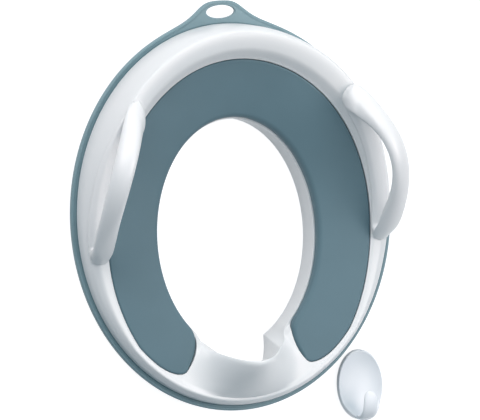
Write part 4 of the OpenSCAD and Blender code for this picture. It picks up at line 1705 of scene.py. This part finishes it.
@dataclass(frozen=True)
class Finish:
    """A surface finish made from shader nodes.

    Attributes:
        name: The material's name.
        colour: Linear base colour.
        rough: Roughness.
        rough_change: How far the roughness goes up and down with the grain.
        vary: Share by which the colour changes over the surface.
        patch: Size of the colour's patches, as noise scale per metre.
        grain: Noise scale of the fine surface grain.
        bump: Depth of the grain, as bump strength.
        bump_height: Height in metres of the grain at full strength.
        metal: Metallic share.
        coat: Clear coat weight.
        coat_rough: Roughness of the clear coat.
        sheen: Sheen weight.
        soft: Subsurface weight.
        soft_depth: Subsurface depth in metres.
        stretch: Scale of the noise along each axis, as for brushed metal.
    """

    name: str
    colour: tuple[float, float, float]
    rough: float
    rough_change: float = 0.05
    vary: float = 0.04
    patch: float = 9.0
    grain: float = 900.0
    bump: float = 0.03
    bump_height: float = 0.0004
    metal: float = 0.0
    coat: float = 0.0
    coat_rough: float = 0.2
    sheen: float = 0.0
    soft: float = 0.0
    soft_depth: float = 0.004
    stretch: tuple[float, float, float] = (1.0, 1.0, 1.0)

    def noise(self, tree: Tree, where: Socket, scale: float, detail: float) -> bpy.types.Node:
        """Add a noise node.

        Args:
            tree: The material's nodes.
            where: Socket with the coordinates.
            scale: Noise scale per metre.
            detail: Octaves of the noise.

        Returns:
            The node.
        """
        node = tree.nodes.new("ShaderNodeTexNoise")
        node.inputs["Scale"].default_value = scale
        node.inputs["Detail"].default_value = detail
        tree.links.new(where, node.inputs["Vector"])
        return node

    def add_colour(self, tree: Tree, where: Socket, shader: bpy.types.Node) -> None:
        """Let the colour change in soft patches.

        Args:
            tree: The material's nodes.
            where: Socket with the coordinates.
            shader: The surface shader.
        """
        patch = self.noise(tree, where, self.patch, 3.0)
        ramp = tree.nodes.new("ShaderNodeValToRGB")
        low = [c * (1 - self.vary) for c in self.colour]
        high = [min(1.0, c * (1 + self.vary)) for c in self.colour]
        for element, position, colour in zip(ramp.color_ramp.elements, (0.3, 0.7), (low, high)):
            element.position, element.color = position, (*colour, 1.0)
        tree.links.new(patch.outputs["Fac"], ramp.inputs["Fac"])
        tree.links.new(ramp.outputs["Color"], shader.inputs["Base Color"])

    def add_grain(self, tree: Tree, where: Socket, shader: bpy.types.Node) -> None:
        """Let fine grain drive the roughness and the bump.

        Args:
            tree: The material's nodes.
            where: Socket with the coordinates.
            shader: The surface shader.
        """
        fine = self.noise(tree, where, self.grain, 2.0)
        spread, bump = tree.nodes.new("ShaderNodeMapRange"), tree.nodes.new("ShaderNodeBump")
        spread.inputs["To Min"].default_value = self.rough - self.rough_change
        spread.inputs["To Max"].default_value = self.rough + self.rough_change
        bump.inputs["Strength"].default_value = self.bump
        bump.inputs["Distance"].default_value = self.bump_height
        tree.links.new(fine.outputs["Fac"], spread.inputs["Value"])
        tree.links.new(spread.outputs["Result"], shader.inputs["Roughness"])
        tree.links.new(fine.outputs["Fac"], bump.inputs["Height"])
        tree.links.new(bump.outputs["Normal"], shader.inputs["Normal"])

    def material(self) -> bpy.types.Material:
        """Build the material: noise over object coordinates drives the colour, roughness and bump.

        Returns:
            The new material.
        """
        mat = bpy.data.materials.new(self.name)
        mat.use_nodes = True
        tree = mat.node_tree
        tree.nodes.clear()
        out, shader = tree.nodes.new("ShaderNodeOutputMaterial"), tree.nodes.new("ShaderNodeBsdfPrincipled")
        where, scale = tree.nodes.new("ShaderNodeTexCoord"), tree.nodes.new("ShaderNodeMapping")
        scale.inputs["Scale"].default_value = self.stretch
        tree.links.new(where.outputs["Object"], scale.inputs["Vector"])
        self.add_colour(tree, scale.outputs["Vector"], shader)
        self.add_grain(tree, scale.outputs["Vector"], shader)
        shader.inputs["Metallic"].default_value = self.metal
        shader.inputs["Coat Weight"].default_value = self.coat
        shader.inputs["Coat Roughness"].default_value = self.coat_rough
        shader.inputs["Sheen Weight"].default_value = self.sheen
        if self.soft:
            shader.inputs["Subsurface Weight"].default_value = self.soft
            shader.inputs["Subsurface Scale"].default_value = self.soft_depth
        tree.links.new(shader.outputs["BSDF"], out.inputs["Surface"])
        return mat


class Look(Enum):
    """Finishes of the product."""

    SHELL = Finish("white_shell_plastic", (0.80, 0.815, 0.82), 0.36, vary=0.012, grain=1400, bump=0.02)
    HANDLE = Finish("white_handle_plastic", (0.82, 0.83, 0.835), 0.34, vary=0.012, grain=1500, bump=0.02)
    HOOK = Finish("white_hook_plastic", (0.87, 0.90, 0.93), 0.33, vary=0.012, grain=1500, bump=0.02)
    STUD = Finish("white_stud_plastic", (0.74, 0.75, 0.75), 0.4, vary=0.02, grain=1200, bump=0.03)
    CUSHION = Finish(
        "slate_cushion_foam", (0.100, 0.180, 0.216), 0.62, vary=0.05, patch=14, grain=1100, bump=0.12,
        sheen=0.12,
    )
    RING = Finish("slate_ring_rubber", (0.185, 0.290, 0.325), 0.5, vary=0.05, patch=16, grain=1300, bump=0.08)
    STEEL = Finish(
        "brushed_screw_steel", (0.55, 0.56, 0.57), 0.32, vary=0.08, patch=60, grain=1600, bump=0.08,
        metal=1.0, stretch=(1.0, 6.0, 1.0),
    )
    FOAM_TAPE = Finish("pale_foam_tape", (0.72, 0.72, 0.68), 0.8, vary=0.05, patch=80, grain=1500, bump=0.3)
    LINER = Finish("cream_liner_paper", (0.80, 0.77, 0.60), 0.55, vary=0.03, patch=30, grain=1800, bump=0.05)


# -------------------- camera and light


@dataclass(frozen=True)
class Lamp:
    """A square soft lamp that faces the seat.

    Attributes:
        name: The lamp's name.
        place: Its place in metres.
        size: Length of its side in metres.
        power: Power in watts.
        colour: Linear colour.
    """

    name: str
    place: tuple[float, float, float]
    size: float
    power: float
    colour: tuple[float, float, float]

    def build(self) -> bpy.types.Object:
        """Place the lamp and turn it to the seat.

        Returns:
            The lamp.
        """
        data = bpy.data.lights.new(self.name, "AREA")
        data.shape, data.size, data.energy, data.color = "SQUARE", self.size, self.power, self.colour
        lamp = bpy.data.objects.new(self.name, data)
        lamp.location = self.place
        lamp.rotation_euler = (Vector((0, 0, 0.03)) - Vector(self.place)).to_track_quat("-Z", "Y").to_euler()
        bpy.context.scene.collection.objects.link(lamp)
        return lamp


@dataclass
class Studio:
    """Camera, lamps and pale floor.

    Attributes:
        yaw: Turn of the seat about its long axis as seen by the camera, in degrees.
        pitch: Tip of the seat towards the camera's top, in degrees.
        roll: Turn of the view about its own axis, in degrees.
        distance: Distance from the seat's middle to the camera, in metres.
        shift: Where the seat's middle lies from the view's axis, in metres.
        aim_height: Height of the point the camera looks at, in metres.
        lens: Focal length in millimetres on a 36 mm sensor.
        lamps: A warm key from the back left, a softer one from the back, one from above on the right and a
            faint cool one from the front.
        sky: Linear colour of the light from all round.
        sky_strength: Strength of that light from the front and from the back.
        floor_glow: Brightness that the floor adds to its own grey.
    """

    yaw: float = 20.0
    pitch: float = 4.16
    roll: float = 3.41
    distance: float = 4.21163
    shift: tuple[float, float] = (-0.008117, -0.003794)
    aim_height: float = 0.018
    lens: float = 354.94
    lamps: tuple[Lamp, ...] = (
        Lamp("key_lamp", (-0.9, 0.9, 0.7), 0.9, 10.4, (1.0, 0.89, 0.86)),
        Lamp("back_lamp", (0.0, 1.3, 0.7), 0.9, 5.1, (1.0, 0.93, 0.88)),
        Lamp("top_lamp", (0.7, 0.0, 1.2), 0.9, 10.8, (1.0, 0.87, 0.82)),
        Lamp("front_lamp", (0.9, -0.9, 0.7), 0.9, 1.5, (0.7, 0.85, 1.0)),
    )
    sky: tuple[float, float, float] = (0.62, 0.86, 1.0)
    sky_strength: tuple[float, float] = (0.12, 0.60)
    floor_glow: float = 0.92

    def camera(self) -> bpy.types.Object:
        """Place the camera so that the seat is seen from above, turned by yaw, pitch and roll.

        Returns:
            The camera, which is the scene's own.
        """
        turn = (
            Matrix.Rotation(np.radians(self.roll), 3, "Z")
            @ Matrix.Rotation(np.radians(self.pitch), 3, "X")
            @ Matrix.Rotation(np.radians(self.yaw), 3, "Y")
        ).transposed()
        data = bpy.data.cameras.new("view_camera")
        data.lens, data.sensor_width, data.clip_end = self.lens, 36.0, 20.0
        camera = bpy.data.objects.new("view_camera", data)
        camera.rotation_euler = turn.to_euler()
        back = turn @ Vector((-self.shift[0], -self.shift[1], self.distance))
        camera.location = back + Vector((0, 0, self.aim_height))
        bpy.context.scene.collection.objects.link(camera)
        bpy.context.scene.camera = camera
        return camera

    def floor(self) -> bpy.types.Object:
        """A pale floor that stays near white in the view and still takes the seat's shadow.

        Returns:
            The floor, which isn't part of the seat.
        """
        half, z = 6.0, -0.0008
        mesh = bpy.data.meshes.new("studio_floor")
        corners = [(-half, -half, z), (half, -half, z), (half, half, z), (-half, half, z)]
        mesh.from_pydata(corners, [], [(0, 1, 2, 3)])
        mesh.materials.append(self.floor_material())
        floor = bpy.data.objects.new("studio_floor", mesh)
        bpy.context.scene.collection.objects.link(floor)
        return floor

    def floor_material(self) -> bpy.types.Material:
        """Matt grey that catches shadows, plus a glow that only the camera, reflections and clear pieces see.

        Returns:
            The new material.
        """
        mat = bpy.data.materials.new("studio_floor_white")
        mat.use_nodes = True
        nodes, links = mat.node_tree.nodes, mat.node_tree.links
        nodes.clear()
        out = nodes.new("ShaderNodeOutputMaterial")
        ground = nodes.new("ShaderNodeBsdfDiffuse")
        ground.inputs["Color"].default_value = (0.30, 0.32, 0.34, 1)
        glow = nodes.new("ShaderNodeEmission")
        glow.inputs["Color"].default_value = (1, 1, 1, 1)
        seen = nodes.new("ShaderNodeLightPath")
        mirrored, passed, lit = (nodes.new("ShaderNodeMath") for _ in range(3))
        mirrored.operation, passed.operation, lit.operation = "ADD", "ADD", "MULTIPLY"
        passed.use_clamp = True
        lit.inputs[1].default_value = self.floor_glow
        both = nodes.new("ShaderNodeAddShader")
        links.new(seen.outputs["Is Camera Ray"], mirrored.inputs[0])
        links.new(seen.outputs["Is Glossy Ray"], mirrored.inputs[1])
        links.new(mirrored.outputs[0], passed.inputs[0])
        links.new(seen.outputs["Is Transmission Ray"], passed.inputs[1])
        links.new(passed.outputs[0], lit.inputs[0])
        links.new(lit.outputs[0], glow.inputs["Strength"])
        links.new(ground.outputs[0], both.inputs[0])
        links.new(glow.outputs[0], both.inputs[1])
        links.new(both.outputs[0], out.inputs["Surface"])
        return mat

    def world(self) -> None:
        """Bluish light that is strong from the back and above and fades towards the front."""
        world = bpy.data.worlds.new("studio_world")
        world.use_nodes = True
        back = world.node_tree.nodes["Background"]
        nodes, links = world.node_tree.nodes, world.node_tree.links
        where, ramp = nodes.new("ShaderNodeTexCoord"), nodes.new("ShaderNodeMapRange")
        facing = nodes.new("ShaderNodeVectorMath")
        facing.operation = "DOT_PRODUCT"
        facing.inputs[1].default_value = (0.0, 0.8, 0.6)
        ramp.inputs["From Min"].default_value, ramp.inputs["From Max"].default_value = -0.6, 1.0
        ramp.inputs["To Min"].default_value, ramp.inputs["To Max"].default_value = self.sky_strength
        links.new(where.outputs["Generated"], facing.inputs[0])
        links.new(facing.outputs["Value"], ramp.inputs["Value"])
        links.new(ramp.outputs["Result"], back.inputs["Strength"])
        back.inputs["Color"].default_value = (*self.sky, 1)
        bpy.context.scene.world = world

    def build(self) -> None:
        """Set the stage."""
        self.world()
        self.floor()
        self.camera()
        for lamp in self.lamps:
            lamp.build()
        bpy.context.scene.view_settings.view_transform = "Standard"


# -------------------- assembly


@dataclass
class TrainingSeat:
    """All the dressed pieces and the finishes of the nodes that stay.

    Attributes:
        form: Shared sizes and surfaces.
        finishes: Materials made so far.
    """

    form: SeatForm = field(default_factory=SeatForm)
    finishes: dict[Look, bpy.types.Material] = field(default_factory=dict)

    def finish(self, look: Look) -> bpy.types.Material:
        """The material of a look, made once.

        Args:
            look: The look.

        Returns:
            Its material.
        """
        if look not in self.finishes:
            self.finishes[look] = look.value.material()
        return self.finishes[look]

    def dress(self, piece: bpy.types.Object, node: str, body: Body, look: Look) -> None:
        """Give a piece its finish, body and slot, and let it stand for a node.

        Args:
            piece: The dressed piece.
            node: Name of the node that it replaces.
            body: Body that it rides on.
            look: Its finish.
        """
        piece.data.materials.append(self.finish(look))
        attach(piece, body.value)
        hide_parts(node)
        log.info("%s: %d points, %d faces", piece.name, len(piece.data.vertices), len(piece.data.polygons))

    def keep(self, frame: dict[str, Any], node: str, look: Look) -> None:
        """Give a node that stays its finish.

        Args:
            node: The node's name.
            look: Its finish.
        """
        piece = frame["nodes"][node]
        if not piece.material_slots:
            piece.data.materials.append(self.finish(look))
        for slot in piece.material_slots:
            slot.material = self.finish(look)
        log.info("%s keeps its shape", node)

    def build(self, frame: dict[str, Any]) -> None:
        """Make every piece in order.
        """
        self.dress(SeatShell(self.form).build(), "seat_shell", Body.SEAT, Look.SHELL)
        self.dress(BaseRing(self.form).build(), "base_ring", Body.SEAT, Look.RING)
        pad = Cushion(self.form).build()
        self.dress(pad, "cushion_pad", Body.CUSHION, Look.CUSHION)
        for side in Side:
            node = f"{side.name.lower()}_handle"
            self.dress(Handle(self.form).build(side), node, Body.SEAT, Look.HANDLE)
        self.dress(WallHook().build(), "wall_hook", Body.HOOK, Look.HOOK)
        for node in ("ring_screws", "handle_screws"):
            self.keep(frame, node, Look.STEEL)
        self.keep(frame, "cushion_studs", Look.STUD)
        self.keep(frame, "hook_tape", Look.FOAM_TAPE)
        self.keep(frame, "hook_liner", Look.LINER)


def main() -> None:
    """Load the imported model, dress it and set the stage."""
    logging.basicConfig(level=logging.INFO, format="%(name)s: %(message)s")
    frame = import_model()
    TrainingSeat().build(frame)
    Studio().build()


if __name__ == "__main__":
    main()
